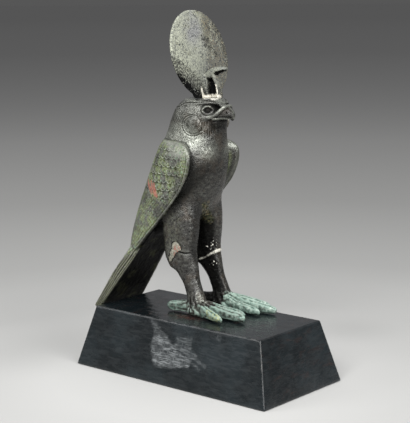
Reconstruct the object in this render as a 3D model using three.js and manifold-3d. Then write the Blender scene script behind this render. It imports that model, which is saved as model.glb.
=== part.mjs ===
import * as THREE from "three";
import { mergeVertices } from "three/addons/utils/BufferGeometryUtils.js";
import Module from "manifold-3d";

const wasm = await Module();
wasm.setup();

// A falcon cast in bronze with closed wings, a thin sun disc on its crown and a black wooden plinth.
// Millimetres, +Z up. The origin is the middle of the plinth's underside and the falcon faces -Y.

// Plinth: a block with four sloping sides
const plinthLength = 160;
const plinthWidth = 81;
const plinthHeight = 40;
const plinthTopLength = 139;
const plinthTopWidth = 62;
const plinthTopRound = 1.2;
const plinthFootRound = 0.5;
const plinthCornerRound = 1.6;

// Falcon: the whole casting follows its own height, and it stands a little askew on the plinth
const falconHeight = 140.5;
const falconOffset = 7;
const falconSetback = 1;
const falconTurn = THREE.MathUtils.degToRad(3.5);

// Sun disc and the stub of its uraeus
const discDiameter = 57.6;
const discRimThickness = 2.0;
const discDome = 0.6;
const discLean = THREE.MathUtils.degToRad(13.5);
const discFootWidth = 27;
const discSetback = 1.5;
const discSunk = 0.6;

// Space left between two pieces that touch
const clearance = 0.3;

// Everything on the falcon is given in hundredths of its height
const share = falconHeight / 100;

// Solids and lofts

function solidFrom(geometry) {
  const plain = geometry.clone();
  plain.deleteAttribute("normal");
  plain.deleteAttribute("uv");
  const merged = mergeVertices(plain, 1e-5);
  return new wasm.Manifold(new wasm.Mesh({
    numProp: 3,
    vertProperties: new Float32Array(merged.attributes.position.array),
    triVerts: new Uint32Array(merged.index.array),
  }));
}

function geometryFrom(solid) {
  const mesh = solid.getMesh();
  const geometry = new THREE.BufferGeometry();
  geometry.setAttribute("position", new THREE.BufferAttribute(new Float32Array(mesh.vertProperties), 3));
  geometry.setIndex(new THREE.BufferAttribute(new Uint32Array(mesh.triVerts), 1));
  geometry.computeVertexNormals();
  return geometry;
}

// Rings of equal count become one closed body, each end closed by a fan about its middle
function loftGeometry(rings) {
  const count = rings[0].length;
  const points = rings.flat();
  const middles = [rings[0], rings[rings.length - 1]].map((ring) => {
    const middle = new THREE.Vector3();
    ring.forEach((point) => middle.add(point));
    return middle.divideScalar(count);
  });
  const faces = [];
  for (let level = 0; level < rings.length - 1; level += 1) {
    for (let i = 0; i < count; i += 1) {
      const next = (i + 1) % count;
      const [a, b] = [level * count + i, level * count + next];
      const [c, d] = [b + count, a + count];
      faces.push([a, b, c], [a, c, d]);
    }
  }
  const first = points.length;
  const last = first + 1;
  const top = (rings.length - 1) * count;
  for (let i = 0; i < count; i += 1) {
    const next = (i + 1) % count;
    faces.push([first, next, i], [last, top + i, top + next]);
  }
  points.push(...middles);

  // The six-fold volume tells whether the rings ran the wrong way round
  const volume = faces.reduce((sum, [a, b, c]) => {
    const side = new THREE.Vector3().crossVectors(points[b], points[c]);
    return sum + points[a].dot(side);
  }, 0);
  const turned = volume < 0 ? faces.map(([a, b, c]) => [a, c, b]) : faces;
  const geometry = new THREE.BufferGeometry().setFromPoints(points);
  geometry.setIndex(turned.flat());
  return geometry;
}

function loft(rings) {
  return solidFrom(loftGeometry(rings));
}

function joined(solids) {
  return solids.reduce((whole, solid) => whole.add(solid));
}

// A smooth reading of a table of stations: row values at a whole or broken row number
function stationAt(rows, where) {
  const last = rows.length - 1;
  const i = Math.min(Math.floor(where), last - 1);
  const t = where - i;
  const [before, from, to, after] = [i - 1, i, i + 1, i + 2].map((k) => rows[Math.max(0, Math.min(last, k))]);
  return from.map((value, k) => {
    const start = (to[k] - before[k]) / 2;
    const end = (after[k] - value) / 2;
    const [t2, t3] = [t * t, t * t * t];
    return (2 * t3 - 3 * t2 + 1) * value + (t3 - 2 * t2 + t) * start
      + (3 * t2 - 2 * t3) * to[k] + (t3 - t2) * end;
  });
}

function stations(rows, perGap) {
  const steps = (rows.length - 1) * perGap;
  return Array.from({ length: steps + 1 }, (_, i) => stationAt(rows, i / perGap));
}

// A point of a rounded square or oval of a given power, on a circle of radius 1 when the power is 2
function ovalPoint(angle, power) {
  const [c, s] = [Math.cos(angle), Math.sin(angle)];
  return [Math.sign(c) * Math.abs(c) ** (2 / power), Math.sign(s) * Math.abs(s) ** (2 / power)];
}

// A flat section across the body: height, front, back, half width, power and narrowing towards the front
function bodyRing([height, front, back, halfWidth, power, narrowing], count) {
  const middle = (front + back) / 2;
  const reach = (back - front) / 2;
  return Array.from({ length: count }, (_, i) => {
    const [x, y] = ovalPoint((i / count) * 2 * Math.PI, power);
    const width = halfWidth * (1 + narrowing * y);
    return new THREE.Vector3(x * width, middle + y * reach, height).multiplyScalar(share);
  });
}

// A round or oval limb along a line of stations: x, y, z, half width, half depth.
// Its sections stand square to the line, or lie level as on a post.
function limb(rows, perGap, count, power = 2, level = false) {
  const line = stations(rows, perGap);
  const rings = line.map(([x, y, z, halfWidth, halfDepth], k) => {
    const [ahead, behind] = [line[Math.min(k + 1, line.length - 1)], line[Math.max(k - 1, 0)]];
    const step = ahead.slice(0, 3).map((value, axis) => value - behind[axis]);
    const along = level ? new THREE.Vector3(0, 0, -1) : new THREE.Vector3(...step).normalize();
    const upright = Math.abs(along.z) > 0.7;
    const across = upright ? new THREE.Vector3(1, 0, 0) : new THREE.Vector3(-along.y, along.x, 0).normalize();
    const over = new THREE.Vector3().crossVectors(along, across).normalize();
    across.crossVectors(over, along).normalize();
    return Array.from({ length: count }, (_, i) => {
      const [u, v] = ovalPoint((i / count) * 2 * Math.PI, power);
      return new THREE.Vector3(x, y, z).addScaledVector(across, u * halfWidth)
        .addScaledVector(over, v * halfDepth).multiplyScalar(share);
    });
  });
  return loft(rings);
}

function ball(x, y, z, halfWidth, halfDepth, halfHeight, around = 14, over = 8) {
  const geometry = new THREE.SphereGeometry(1, around, over);
  geometry.scale(halfWidth * share, halfDepth * share, halfHeight * share);
  geometry.translate(x * share, y * share, z * share);
  return solidFrom(geometry);
}

// Falcon: trunk, neck and head

// Height, front, back, half width, power, narrowing towards the front
const trunkSections = [
  [30, 34, 45, 7.5, 2.0, 0],
  [34, 27, 44, 9.4, 2.1, 0],
  [39, 16, 42, 11.4, 2.2, 0],
  [44, 5, 39.5, 13, 2.2, 0],
  [49, -0.2, 36, 14.4, 2.3, 0],
  [55, -2.7, 33, 15.6, 2.4, 0],
  [61, -4.2, 31, 16.4, 2.4, 0],
  [67, -5.0, 28.5, 16.7, 2.4, 0],
  [72, -5.5, 26, 16.2, 2.4, 0],
  [76, -5.9, 24.2, 14.9, 2.3, 0],
  [80, -6.2, 22.4, 13.2, 2.3, 0.03],
  [84, -6.5, 20.6, 12.5, 2.2, 0.08],
  [88, -7.3, 18.7, 12.2, 2.2, 0.16],
  [91.5, -7.9, 17.0, 11.8, 2.2, 0.22],
  [94.5, -8.0, 15.1, 11.1, 2.3, 0.27],
  [97, -7.2, 12.9, 10.1, 2.4, 0.22],
  [98.6, -6.0, 11.3, 9.0, 2.4, 0.16],
  [99.3, -5.0, 10.0, 7.8, 2.4, 0.12],
];
const trunkCount = 24;

function makeTrunk() {
  return loft(stations(trunkSections, 2).map((row) => bodyRing(row, trunkCount)));
}

// The hooked beak runs forward from the face and turns down
const beakLine = [
  [0, -4, 93.4, 6.4, 4.4],
  [0, -8, 93.3, 5.0, 3.7],
  [0, -10.4, 92.9, 3.5, 2.9],
  [0, -11.9, 91.9, 2.1, 2.0],
  [0, -12.6, 90.5, 1.1, 1.1],
  [0, -12.4, 89.2, 0.35, 0.35],
];

function makeBeak() {
  const beak = limb(beakLine, 2, 10);
  const mouthTop = 91.2;
  const mouth = new THREE.BoxGeometry(16 * share, 9 * share, 0.45 * share);
  mouth.translate(0, -11.2 * share, mouthTop * share);
  return beak.subtract(solidFrom(mouth));
}

// Brow ridges, almond eyes and the round cheek patches, one of each on either side
const eyeCentre = [7.6, -4.3, 94.3];
const eyeReach = 2.2;
const eyeHalfHeight = 1.8;
const faceAngle = THREE.MathUtils.degToRad(38);
const rimSegments = 12;

function makeFaceSide(side) {
  const [eyeX, eyeY, eyeZ] = eyeCentre;
  const brow = limb([
    [side * 9.2, 4, 96.9, 0.5, 0.6],
    [side * 8.3, -1, 97.7, 1.1, 0.9],
    [side * 5.4, -5.8, 97.3, 1.1, 0.9],
    [side * 2.6, -9.6, 95.9, 0.6, 0.6],
  ], 2, 6);
  const rim = limb(Array.from({ length: rimSegments + 1 }, (_, i) => {
    const angle = (i / (rimSegments + 0.5)) * 2 * Math.PI;
    const corner = 1 + 0.3 * Math.max(0, Math.cos(2 * angle)) ** 3;
    const forward = eyeReach * corner * Math.cos(angle);
    return [side * (eyeX - forward * Math.sin(faceAngle)), eyeY - forward * Math.cos(faceAngle),
      eyeZ + eyeHalfHeight * Math.sin(angle), 0.42, 0.42];
  }), 1, 6);
  const eyeball = ball(side * (eyeX - 0.7), eyeY + 0.5, eyeZ, 1.7, 1.7, 1.5, 10, 6);
  const cheek = ball(side * 10.8, 3.6, 88.0, 1.2, 6.2, 5.0, 16, 6);
  return joined([brow, rim, eyeball, cheek]);
}

// Falcon: the closed wings, which wrap the back like a cloak

// Height, leading edge, mid back, half width, power
const wingSections = [
  [21.4, 41.0, 43.2, 11.0, 2.0],
  [24, 38.4, 42.6, 12.4, 2.1],
  [30, 31.6, 42.2, 14.2, 2.3],
  [36, 25.6, 41.0, 15.4, 2.4],
  [42, 19.4, 39.0, 16.4, 2.5],
  [48, 13.4, 36.7, 17.2, 2.6],
  [54, 7.8, 34.2, 17.9, 2.6],
  [60, 3.1, 31.8, 18.5, 2.6],
  [66, 0.2, 29.2, 18.8, 2.6],
  [71, -1.0, 26.8, 18.9, 2.6],
  [75, -0.8, 24.8, 18.6, 2.6],
  [77.5, 1.0, 23.8, 17.6, 2.5],
  [79.2, 4.4, 23.0, 15.8, 2.4],
  [80.2, 9.0, 22.5, 13.2, 2.3],
];
// The left wing is closed further forward than the right
const leftWingAhead = 1.6;
const wingHalfColumns = 20;
const wingEdgeDepth = 4.2;
const wingNotchTop = 40;
const wingNotchHalfWidth = 8.6;

// Coverts lie in scalloped rows down to this height, and long flight feathers below it
const covertRows = 5;
const covertTop = 77.5;
const covertBottom = 50;
const featherStep = 0.5;
const scallopDrop = 1.5;
const flightColumns = 3;

function wingStation(height) {
  const above = wingSections.findIndex((row) => row[0] >= height);
  const to = above < 0 ? wingSections.length - 1 : Math.max(1, above);
  const from = wingSections[to - 1];
  return stationAt(wingSections, to - 1 + (height - from[0]) / (wingSections[to][0] - from[0]));
}

function wingAhead(height) {
  return leftWingAhead * Math.min(1, (height - wingSections[0][0]) / 20);
}

// One ring round both wings: lift is the height of the feathers over the wing's own surface
function wingRing(height, lift, drop) {
  const outer = [];
  const columns = 2 * wingHalfColumns;
  for (let i = 0; i <= columns; i += 1) {
    const angle = (i / columns) * Math.PI;
    const fromEdge = Math.min(i, columns - i);
    const inner = Math.min(1, fromEdge / 2);
    const here = height - drop * inner * (i % 2);
    const [, edge, back, halfWidth, power] = wingStation(here);
    const [x, y] = ovalPoint(angle, power);
    const rise = lift(fromEdge, here) * inner;
    const [px, py] = [x * halfWidth, edge + y * (back - edge) - wingAhead(here) * Math.max(0, x)];
    const out = new THREE.Vector2(x / halfWidth, Math.max(0, y) / (back - edge)).normalize();
    outer.push(new THREE.Vector3(px + out.x * rise, py + out.y * rise, here));
  }
  const [, edge, , halfWidth] = wingStation(height);
  const depth = Math.min(wingEdgeDepth, 0.35 * halfWidth);
  const front = [[-1, 0.9, -0.9], [-1, 2.2, -0.6], [-1, 3.6, depth], [1, 3.6, depth], [1, 2.2, -0.6], [1, 0.9, -0.9]];
  const inside = front.map(([side, inset, y]) => new THREE.Vector3(side * (halfWidth - inset),
    edge + y - wingAhead(height) * Math.max(0, side), height));
  return [...outer, ...inside].map((point) => point.multiplyScalar(share));
}

function makeWings() {
  const rings = [];
  const flight = (column) => featherStep * (1 - (column % flightColumns) / (flightColumns - 1));
  [21.4, 24, 28, 33, 38, 43, 47].forEach((height) => rings.push(wingRing(height, flight, 0)));
  const rowHeight = (covertTop - covertBottom) / covertRows;
  for (let row = 0; row < covertRows; row += 1) {
    const foot = covertBottom + row * rowHeight;
    const under = row === 0 ? flight : () => 0;
    rings.push(wingRing(foot - 0.25, under, scallopDrop));
    rings.push(wingRing(foot + 0.25, () => featherStep, scallopDrop));
  }
  [covertTop, 78.5, 79.4, 80.2].forEach((height) => rings.push(wingRing(height, () => 0, 0)));
  return loft(rings).subtract(makeWingNotch());
}

// The two wing tips part over the tail
function makeWingNotch() {
  const outline = new THREE.Shape([
    new THREE.Vector2(0, wingNotchTop * share),
    new THREE.Vector2(-wingNotchHalfWidth * share, 18 * share),
    new THREE.Vector2(wingNotchHalfWidth * share, 18 * share),
  ]);
  const wedge = new THREE.ExtrudeGeometry(outline, { depth: 40 * share, bevelEnabled: false });
  wedge.rotateX(Math.PI / 2);
  wedge.translate(0, 70 * share, 0);
  return solidFrom(wedge);
}

// Falcon: tail, a flat board that fans out and comes down to the plinth

const tailRoot = [0, 23.2, 41];
const tailEnd = [-3.8, 50.2, 0];
const tailHalfWidths = [9.4, 16.2];
const tailThickness = 3.1;
const tailFeathers = 6;
const tailGroove = 0.35;

function makeTail() {
  const root = new THREE.Vector3(...tailRoot);
  const end = new THREE.Vector3(...tailEnd);
  const along = end.clone().sub(root).normalize();
  const across = new THREE.Vector3(1, 0, 0);
  const over = new THREE.Vector3(0, -along.z, along.y).normalize();
  const rings = [-0.02, 0.25, 0.5, 0.75, 1.02].map((t) => {
    const middle = root.clone().lerp(end, t);
    const half = THREE.MathUtils.lerp(...tailHalfWidths, t);
    const crown = 0.8 * (1 - 0.6 * t);
    const surface = (v, up) => {
      const bow = crown * (1 - v * v);
      return middle.clone().addScaledVector(across, v * half).addScaledVector(over, up + bow);
    };
    const ring = [surface(-1, 0.5), surface(-0.97, 0)];
    for (let i = 1; i < tailFeathers; i += 1) ring.push(surface(-1 + (2 * i) / tailFeathers, 0));
    ring.push(surface(0.97, 0), surface(1, 0.5), surface(1, tailThickness - 0.5));
    for (let i = 0; i < tailFeathers; i += 1) {
      const v = 1 - (2 * i) / tailFeathers;
      ring.push(surface(v - 0.03, tailThickness));
      if (i < tailFeathers - 1) ring.push(surface(v - 2 / tailFeathers + 0.04, tailThickness - tailGroove));
    }
    ring.push(surface(-1, tailThickness - 0.5));
    return ring.map((point) => point.multiplyScalar(share));
  });
  return loft(rings);
}

// Falcon: legs and feet

// x, y, z, half width, half depth, from inside the flank down to the ankle
const legLine = [
  [6.6, 14.5, 62, 4.8, 8.0],
  [7.8, 12.6, 54, 5.9, 9.7],
  [8.6, 11.2, 46, 6.5, 9.7],
  [9.0, 10.4, 38, 6.4, 8.9],
  [9.2, 10.4, 31, 6.1, 8.2],
  [9.2, 10.2, 26.4, 5.5, 8.2],
  [9.2, 9.2, 23.2, 4.8, 7.9],
  [9.2, 8.3, 21.0, 4.3, 7.5],
  [9.3, 6.6, 19.5, 3.9, 6.0],
  [9.4, 5.2, 17, 3.6, 5.0],
  [9.5, 3.9, 14.5, 3.4, 4.4],
  [9.6, 2.6, 11.5, 3.3, 4.4],
  [9.8, 1.2, 8, 3.6, 4.8],
  [9.9, 0.2, 4, 4.2, 5.4],
  [9.9, 0.0, 0.6, 4.4, 5.6],
];

// The right foot is a little shorter than the left
const rightFootReach = 0.9;

// Each toe from the ankle to the claw: x, y, z, half width, half depth
const toeLines = [
  [[9.9, 0, 4.8, 2.4, 3.8], [9.9, -6, 4.1, 2.4, 3.5], [10.1, -12, 3.4, 2.2, 3.1], [10.2, -17, 2.9, 2.2, 2.8],
    [10.3, -22, 2.7, 2.0, 2.5], [10.4, -26, 2.6, 1.7, 2.1], [10.5, -28.6, 2.2, 1.0, 1.3], [10.5, -29.8, 1.6, 0.4, 0.4]],
  [[8.8, 0, 4.6, 2.2, 3.6], [7.6, -5, 3.9, 2.2, 3.2], [6.4, -10, 3.1, 2.0, 2.8], [5.6, -15, 2.7, 2.0, 2.5],
    [5.0, -19.4, 2.5, 1.8, 2.2], [4.7, -22.2, 2.3, 1.4, 1.7], [4.6, -23.8, 1.9, 0.8, 1.0], [4.5, -24.8, 1.4, 0.35, 0.35]],
  [[11.0, 0, 4.6, 2.2, 3.6], [12.4, -4.4, 3.9, 2.2, 3.3], [13.9, -8.8, 3.3, 2.0, 3.0], [15.2, -12.8, 2.9, 2.0, 2.7],
    [16.3, -16.4, 2.7, 1.8, 2.4], [17.0, -18.8, 2.4, 1.4, 1.8], [17.4, -20.2, 2.0, 0.8, 1.0], [17.6, -21.0, 1.5, 0.35, 0.35]],
  [[9.9, 3, 4.4, 2.4, 3.6], [10.0, 7, 3.5, 2.3, 3.0], [10.2, 11, 3.0, 2.2, 2.6], [10.4, 14.6, 2.8, 2.0, 2.4],
    [10.5, 17.4, 2.6, 1.4, 1.7], [10.5, 19.0, 2.3, 0.5, 0.6]],
];

// The web that fills the roots of the toes
const webLine = [
  [9.9, 4, 2.2, 4.2, 3.4],
  [10, -2, 2.2, 5.0, 3.6],
  [10.2, -7, 1.6, 5.6, 3.0],
  [10.5, -11, 1.0, 5.8, 2.4],
  [10.8, -14, 0.4, 5.2, 1.6],
];

function mirrored(rows, side) {
  return rows.map(([x, ...rest]) => [side * x, ...rest]);
}

function makeLeg(side) {
  const leg = limb(mirrored(legLine, side), 1, 14, 2.2, true);
  const reach = side < 0 ? rightFootReach : 1;
  const foot = (rows) => mirrored(rows, side).map(([x, y, ...rest]) => [x, y * reach, ...rest]);
  const toes = toeLines.map((rows) => limb(foot(rows), 1, 8));
  return joined([leg, ...toes, limb(foot(webLine), 1, 10)]);
}

// Falcon: all of it joined and cut flat at the soles

function makeFalcon() {
  const whole = joined([
    makeTrunk(), makeBeak(), makeFaceSide(-1), makeFaceSide(1), makeWings(), makeTail(), makeLeg(-1), makeLeg(1),
  ]);
  const below = new THREE.BoxGeometry(3 * falconHeight, 3 * falconHeight, falconHeight);
  below.translate(0, 0, -falconHeight / 2);
  return whole.subtract(solidFrom(below));
}

// Sun disc: a circle with a short foot, thin at the rim and slightly domed

function discOutline(inset, count = 40) {
  const radius = discDiameter / 2 - inset;
  const footHalf = discFootWidth / 2 - inset;
  return Array.from({ length: count }, (_, i) => {
    const angle = ((i + 0.5) / count) * 2 * Math.PI - Math.PI / 2;
    const [x, z] = [radius * Math.cos(angle), radius * Math.sin(angle)];
    const low = z < -0.86 * radius;
    return low ? new THREE.Vector2(footHalf * Math.sign(x) * Math.min(1, Math.abs(x) / (0.5 * radius)), -radius)
      : new THREE.Vector2(x, z);
  });
}

function makeDiscPlate() {
  const half = discRimThickness / 2;
  const layers = [
    [9, half + discDome], [4, half + 0.7 * discDome], [0.5, half], [0, half - 0.4],
    [0, 0.4 - half], [0.5, -half], [4, -half - 0.7 * discDome], [9, -half - discDome],
  ];
  return loft(layers.map(([inset, y]) => discOutline(inset).map((point) => new THREE.Vector3(point.x, y, point.y))));
}

function makeUraeus() {
  const bars = [
    [[0, 0.1, 98.6, 2.6, 1.2], [0, 1.1, 103.5, 2.4, 1.2], [0, 1.6, 107, 2.4, 1.4], [0, 1.4, 110, 2.4, 1.5]],
    [[0, -4.5, 98.6, 1.2, 0.8], [0, -3.9, 103.5, 1.6, 0.8], [0, -2.8, 107.5, 2.1, 1.0], [0, -1.6, 110.5, 2.4, 1.3]],
    [[0, 2.4, 109.0, 2.2, 1.6], [0, -2.0, 110.4, 2.7, 1.5], [0, -5.2, 112.0, 2.5, 1.0], [0, -7.7, 112.7, 1.6, 0.6]],
  ];
  return joined(bars.map((rows) => limb(rows, 1, 8)));
}

const crownTop = 99.3 * share;

function makeSunDisc() {
  const plate = makeDiscPlate();
  const seat = new THREE.Matrix4().makeTranslation(0, discSetback, crownTop - discSunk);
  const lean = new THREE.Matrix4().makeRotationX(-discLean);
  const lift = new THREE.Matrix4().makeTranslation(0, 0, discDiameter / 2);
  const placed = plate.transform(seat.multiply(lean).multiply(lift).elements);
  const crown = new THREE.BoxGeometry(falconHeight, falconHeight, falconHeight);
  crown.translate(0, 0, crownTop + clearance - falconHeight / 2);
  return placed.add(makeUraeus()).subtract(solidFrom(crown));
}

// Plinth: rounded rectangles stacked along the sloping sides, eased at the foot and the top

function plinthRing(height, inset) {
  const rise = height / plinthHeight;
  const halfLength = THREE.MathUtils.lerp(plinthLength, plinthTopLength, rise) / 2 - inset;
  const halfWidth = THREE.MathUtils.lerp(plinthWidth, plinthTopWidth, rise) / 2 - inset;
  const round = plinthCornerRound;
  const corners = [[1, 1, 0], [-1, 1, 1], [-1, -1, 2], [1, -1, 3]];
  return corners.flatMap(([sx, sy, quarter]) => [0, 1, 2, 3].map((step) => {
    const angle = (quarter + step / 3) * (Math.PI / 2);
    return new THREE.Vector3(sx * (halfWidth - round) + round * Math.cos(angle),
      sy * (halfLength - round) + round * Math.sin(angle), height);
  }));
}

function makePlinth() {
  const easing = (size, from, towards) => [0, 1, 2, 3].map((step) => {
    const angle = (step / 3) * (Math.PI / 2);
    return [from + towards * size * (1 - Math.cos(angle)), size * (1 - Math.sin(angle))];
  });
  const foot = easing(plinthFootRound, 0, 1);
  const top = easing(plinthTopRound, plinthHeight, -1).reverse();
  return loft([...foot, ...top].map(([height, inset]) => plinthRing(height, inset)));
}

// Pieces in their places

const bronze = new THREE.MeshStandardMaterial({ color: 0x3d3a34, roughness: 0.5, metalness: 0.75 });
const discBronze = new THREE.MeshStandardMaterial({ color: 0x6b6e62, roughness: 0.7, metalness: 0.4 });
const blackLacquer = new THREE.MeshStandardMaterial({ color: 0x0b0e11, roughness: 0.25, metalness: 0 });

function piece(name, solid, material) {
  const mesh = new THREE.Mesh(geometryFrom(solid), material);
  mesh.name = name;
  return mesh;
}

const figure = new THREE.Group();
figure.add(piece("falcon", makeFalcon(), bronze));
figure.add(piece("sun_disc", makeSunDisc(), discBronze));
figure.position.set(falconOffset, falconSetback, plinthHeight + clearance);
figure.rotation.z = falconTurn;

const model = new THREE.Group();
model.add(piece("plinth", makePlinth(), blackLacquer));
model.add(figure);

export default model;
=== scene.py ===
import math

import bpy
import numpy as np
from mathutils import Matrix, Vector


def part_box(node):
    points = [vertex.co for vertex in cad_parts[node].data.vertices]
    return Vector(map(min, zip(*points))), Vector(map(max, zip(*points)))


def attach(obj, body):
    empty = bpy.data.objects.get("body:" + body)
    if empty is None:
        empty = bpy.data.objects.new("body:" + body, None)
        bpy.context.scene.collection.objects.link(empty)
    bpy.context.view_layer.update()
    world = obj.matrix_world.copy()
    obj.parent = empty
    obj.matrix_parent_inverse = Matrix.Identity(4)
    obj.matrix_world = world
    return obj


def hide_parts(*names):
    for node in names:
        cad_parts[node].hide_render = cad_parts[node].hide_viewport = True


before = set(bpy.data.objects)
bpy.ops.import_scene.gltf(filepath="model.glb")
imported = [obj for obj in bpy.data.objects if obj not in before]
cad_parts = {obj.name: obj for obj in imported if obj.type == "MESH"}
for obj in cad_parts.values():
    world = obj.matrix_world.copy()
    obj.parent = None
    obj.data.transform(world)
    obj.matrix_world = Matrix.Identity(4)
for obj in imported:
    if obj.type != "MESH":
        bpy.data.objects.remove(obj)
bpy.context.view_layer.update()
print("frame loaded:", ", ".join(sorted(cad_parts)))

mm = 0.001

# The bird is worked in hundredths of its own height, from its soles up, facing -Y
figure = {
    "turn": 3.5,  # degrees it stands askew on the plinth
    "aside": 7 * mm,
    "back": 1 * mm,
    "crown": 99.3,  # height of the flat crown, in hundredths
}
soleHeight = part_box("falcon")[0].z
share = (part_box("falcon")[1].z - soleHeight) / figure["crown"]
toPlace = Matrix.Translation((figure["aside"], figure["back"], soleHeight)) @ Matrix.Rotation(
    math.radians(figure["turn"]), 4, "Z")
toRow = toPlace @ Matrix.Scale(share, 4)
toFigure = np.array(toRow.inverted())


# Smooth steps and distances

def ramp(low, high, value):
    t = np.clip((value - low) / (high - low), 0, 1)
    return t * t * (3 - 2 * t)


def fall(low, high, value):
    return 1 - ramp(low, high, value)


def bell(value, width=1.0):
    return np.exp(-(value / width) ** 2)


def spot(points, centre, sizes):
    return bell(np.linalg.norm((points - centre) / sizes, axis=1))


def fromPath(points, path):
    path = np.array(path, float)
    nearest = np.full(len(points), 1e9)
    for start, end in zip(path[:-1], path[1:]):
        along = end - start
        t = np.clip((points - start) @ along / (along @ along), 0, 1)
        nearest = np.minimum(nearest, np.linalg.norm(points - start - t[:, None] * along, axis=1))
    return nearest


def mirrored(rows, side):
    return [[side * x, *rest] for x, *rest in rows]


# Shells from stations

def throughRows(rows, perGap):
    rows = np.array(rows, float)
    last = len(rows) - 1
    where = np.linspace(0, last, last * perGap + 1)
    i = np.minimum(where.astype(int), last - 1)
    t = (where - i)[:, None]
    before, start, end, after = (rows[np.clip(i + k, 0, last)] for k in (-1, 0, 1, 2))
    leave = (end - before) / 2
    arrive = (after - start) / 2
    return ((2 * t**3 - 3 * t**2 + 1) * start + (t**3 - 2 * t**2 + t) * leave
            + (3 * t**2 - 2 * t**3) * end + (t**3 - t**2) * arrive)


def oval(count, power=2):
    angle = np.linspace(0, 2 * math.pi, count, endpoint=False)
    c, s = np.cos(angle), np.sin(angle)
    return np.sign(c) * np.abs(c) ** (2 / power), np.sign(s) * np.abs(s) ** (2 / power)


def bodyRings(rows, perGap=8, count=96):
    rings = []
    for height, front, back, halfWidth, power, narrowing in throughRows(rows, perGap):
        x, y = oval(count, power)
        rings.append(np.stack([x * halfWidth * (1 + narrowing * y),
                               (front + back) / 2 + y * (back - front) / 2, np.full(count, height)], 1))
    return np.array(rings)


def limbRings(rows, perGap, count, power=2.0, level=False):
    line = throughRows(rows, perGap)
    u, v = oval(count, power)
    rings = []
    for k, (x, y, z, halfWidth, halfDepth) in enumerate(line):
        step = line[min(k + 1, len(line) - 1)][:3] - line[max(k - 1, 0)][:3]
        along = Vector((0, 0, -1)) if level else Vector(step).normalized()
        across = Vector((1, 0, 0)) if abs(along.z) > 0.7 else Vector((-along.y, along.x, 0)).normalized()
        over = along.cross(across).normalized()
        across = over.cross(along).normalized()
        rings.append(np.array([x, y, z]) + np.outer(u * halfWidth, across) + np.outer(v * halfDepth, over))
    return np.array(rings)


def ballRings(centre, halfSizes, count=32, levels=18):
    x, y = oval(count)
    return np.array([np.stack([centre[0] + x * halfSizes[0] * math.sin(a),
                               centre[1] + y * halfSizes[1] * math.sin(a),
                               np.full(count, centre[2] + halfSizes[2] * math.cos(a))], 1)
                     for a in np.linspace(0.06, math.pi - 0.06, levels)])


def closedShell(rings):
    levels, count = rings.shape[:2]
    index = np.arange(levels * count).reshape(levels, count)
    around = np.roll(index, -1, 1)
    quads = np.stack([index[:-1], around[:-1], around[1:], index[1:]], -1).reshape(-1, 4)
    first = levels * count
    caps = [(first, around[0, i], index[0, i]) for i in range(count)]
    caps += [(first + 1, index[-1, i], around[-1, i]) for i in range(count)]
    points = np.vstack([rings.reshape(-1, 3), rings[0].mean(0), rings[-1].mean(0)])
    corners = points[quads]
    turned = np.cross(corners[:, 2] - corners[:, 0], corners[:, 3] - corners[:, 1])
    outward = (turned * (corners.mean(1) - points.mean(0))).sum() > 0
    faces = quads.tolist() + caps
    return points, faces if outward else [tuple(reversed(face)) for face in faces]


def joined(parts):
    points, faces = [], []
    start = 0
    for partPoints, partFaces in parts:
        points.append(partPoints)
        faces += [[start + i for i in face] for face in partFaces]
        start += len(partPoints)
    return np.vstack(points), faces


def newMesh(name, points, faces):
    mesh = bpy.data.meshes.new(name)
    mesh.from_pydata(points.tolist(), [], faces)
    mesh.update()
    return mesh


def shellMesh(name, shells, place):
    mesh = newMesh(name, *joined([closedShell(rings) for rings in shells]))
    mesh.transform(place)
    return mesh


def addPiece(name, mesh):
    piece = bpy.data.objects.new(name, mesh)
    bpy.context.scene.collection.objects.link(piece)
    return piece


def applyModifier(piece, kind, **settings):
    modifier = piece.modifiers.new(kind.lower(), kind)
    for name, value in settings.items():
        setattr(modifier, name, value)
    bpy.context.view_layer.update()
    evaluated = piece.evaluated_get(bpy.context.evaluated_depsgraph_get())
    mesh = bpy.data.meshes.new_from_object(evaluated)
    piece.modifiers.clear()
    piece.data = mesh


def fuse(piece, voxel):
    applyModifier(piece, "REMESH", mode="VOXEL", voxel_size=voxel)


def thinOut(piece, triangles):
    count = sum(len(polygon.vertices) - 2 for polygon in piece.data.polygons)
    if count > triangles:
        applyModifier(piece, "DECIMATE", ratio=triangles / count)


def readAll(items, field, width, kind=np.float32):
    values = np.zeros(len(items) * width, kind)
    items.foreach_get(field, values)
    return values.reshape(-1, width)


def pointsOf(mesh):
    return readAll(mesh.vertices, "co", 3).astype(float)


def normalsOf(mesh):
    return readAll(mesh.vertex_normals, "vector", 3).astype(float)


def edgesOf(mesh):
    return readAll(mesh.edges, "vertices", 2, np.int32)


def inFigure(points):
    return points @ toFigure[:3, :3].T + toFigure[:3, 3]


def setPoints(mesh, points):
    mesh.vertices.foreach_set("co", points.astype(np.float32).ravel())
    mesh.update()


def keepMasks(mesh, masks):
    for name, values in masks.items():
        mask = mesh.attributes.new(name, "FLOAT", "POINT")
        mask.data.foreach_set("value", np.clip(values, 0, 1).astype(np.float32))


def averager(edges, count):
    ends = np.concatenate([edges[:, 0], edges[:, 1]])
    others = np.concatenate([edges[:, 1], edges[:, 0]])
    neighbours = np.maximum(np.bincount(ends, minlength=count), 1)
    return lambda values: np.bincount(ends, values[others], count) / neighbours


def relaxed(points, edges, times, strength=0.6):
    average = averager(edges, len(points))
    for _ in range(times):
        points = points + strength * (np.stack([average(column) for column in points.T], 1) - points)
    return points


def relaxedPart(points, edges, times, strength, weight):
    nearby = weight > 0.01
    touching = edges[nearby[edges[:, 0]] | nearby[edges[:, 1]]]
    used, packed = np.unique(touching, return_inverse=True)
    hold = strength * (weight[used] * nearby[used])[:, None]
    points[used] = relaxed(points[used], packed.reshape(-1, 2), times, hold)
    return points


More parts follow.
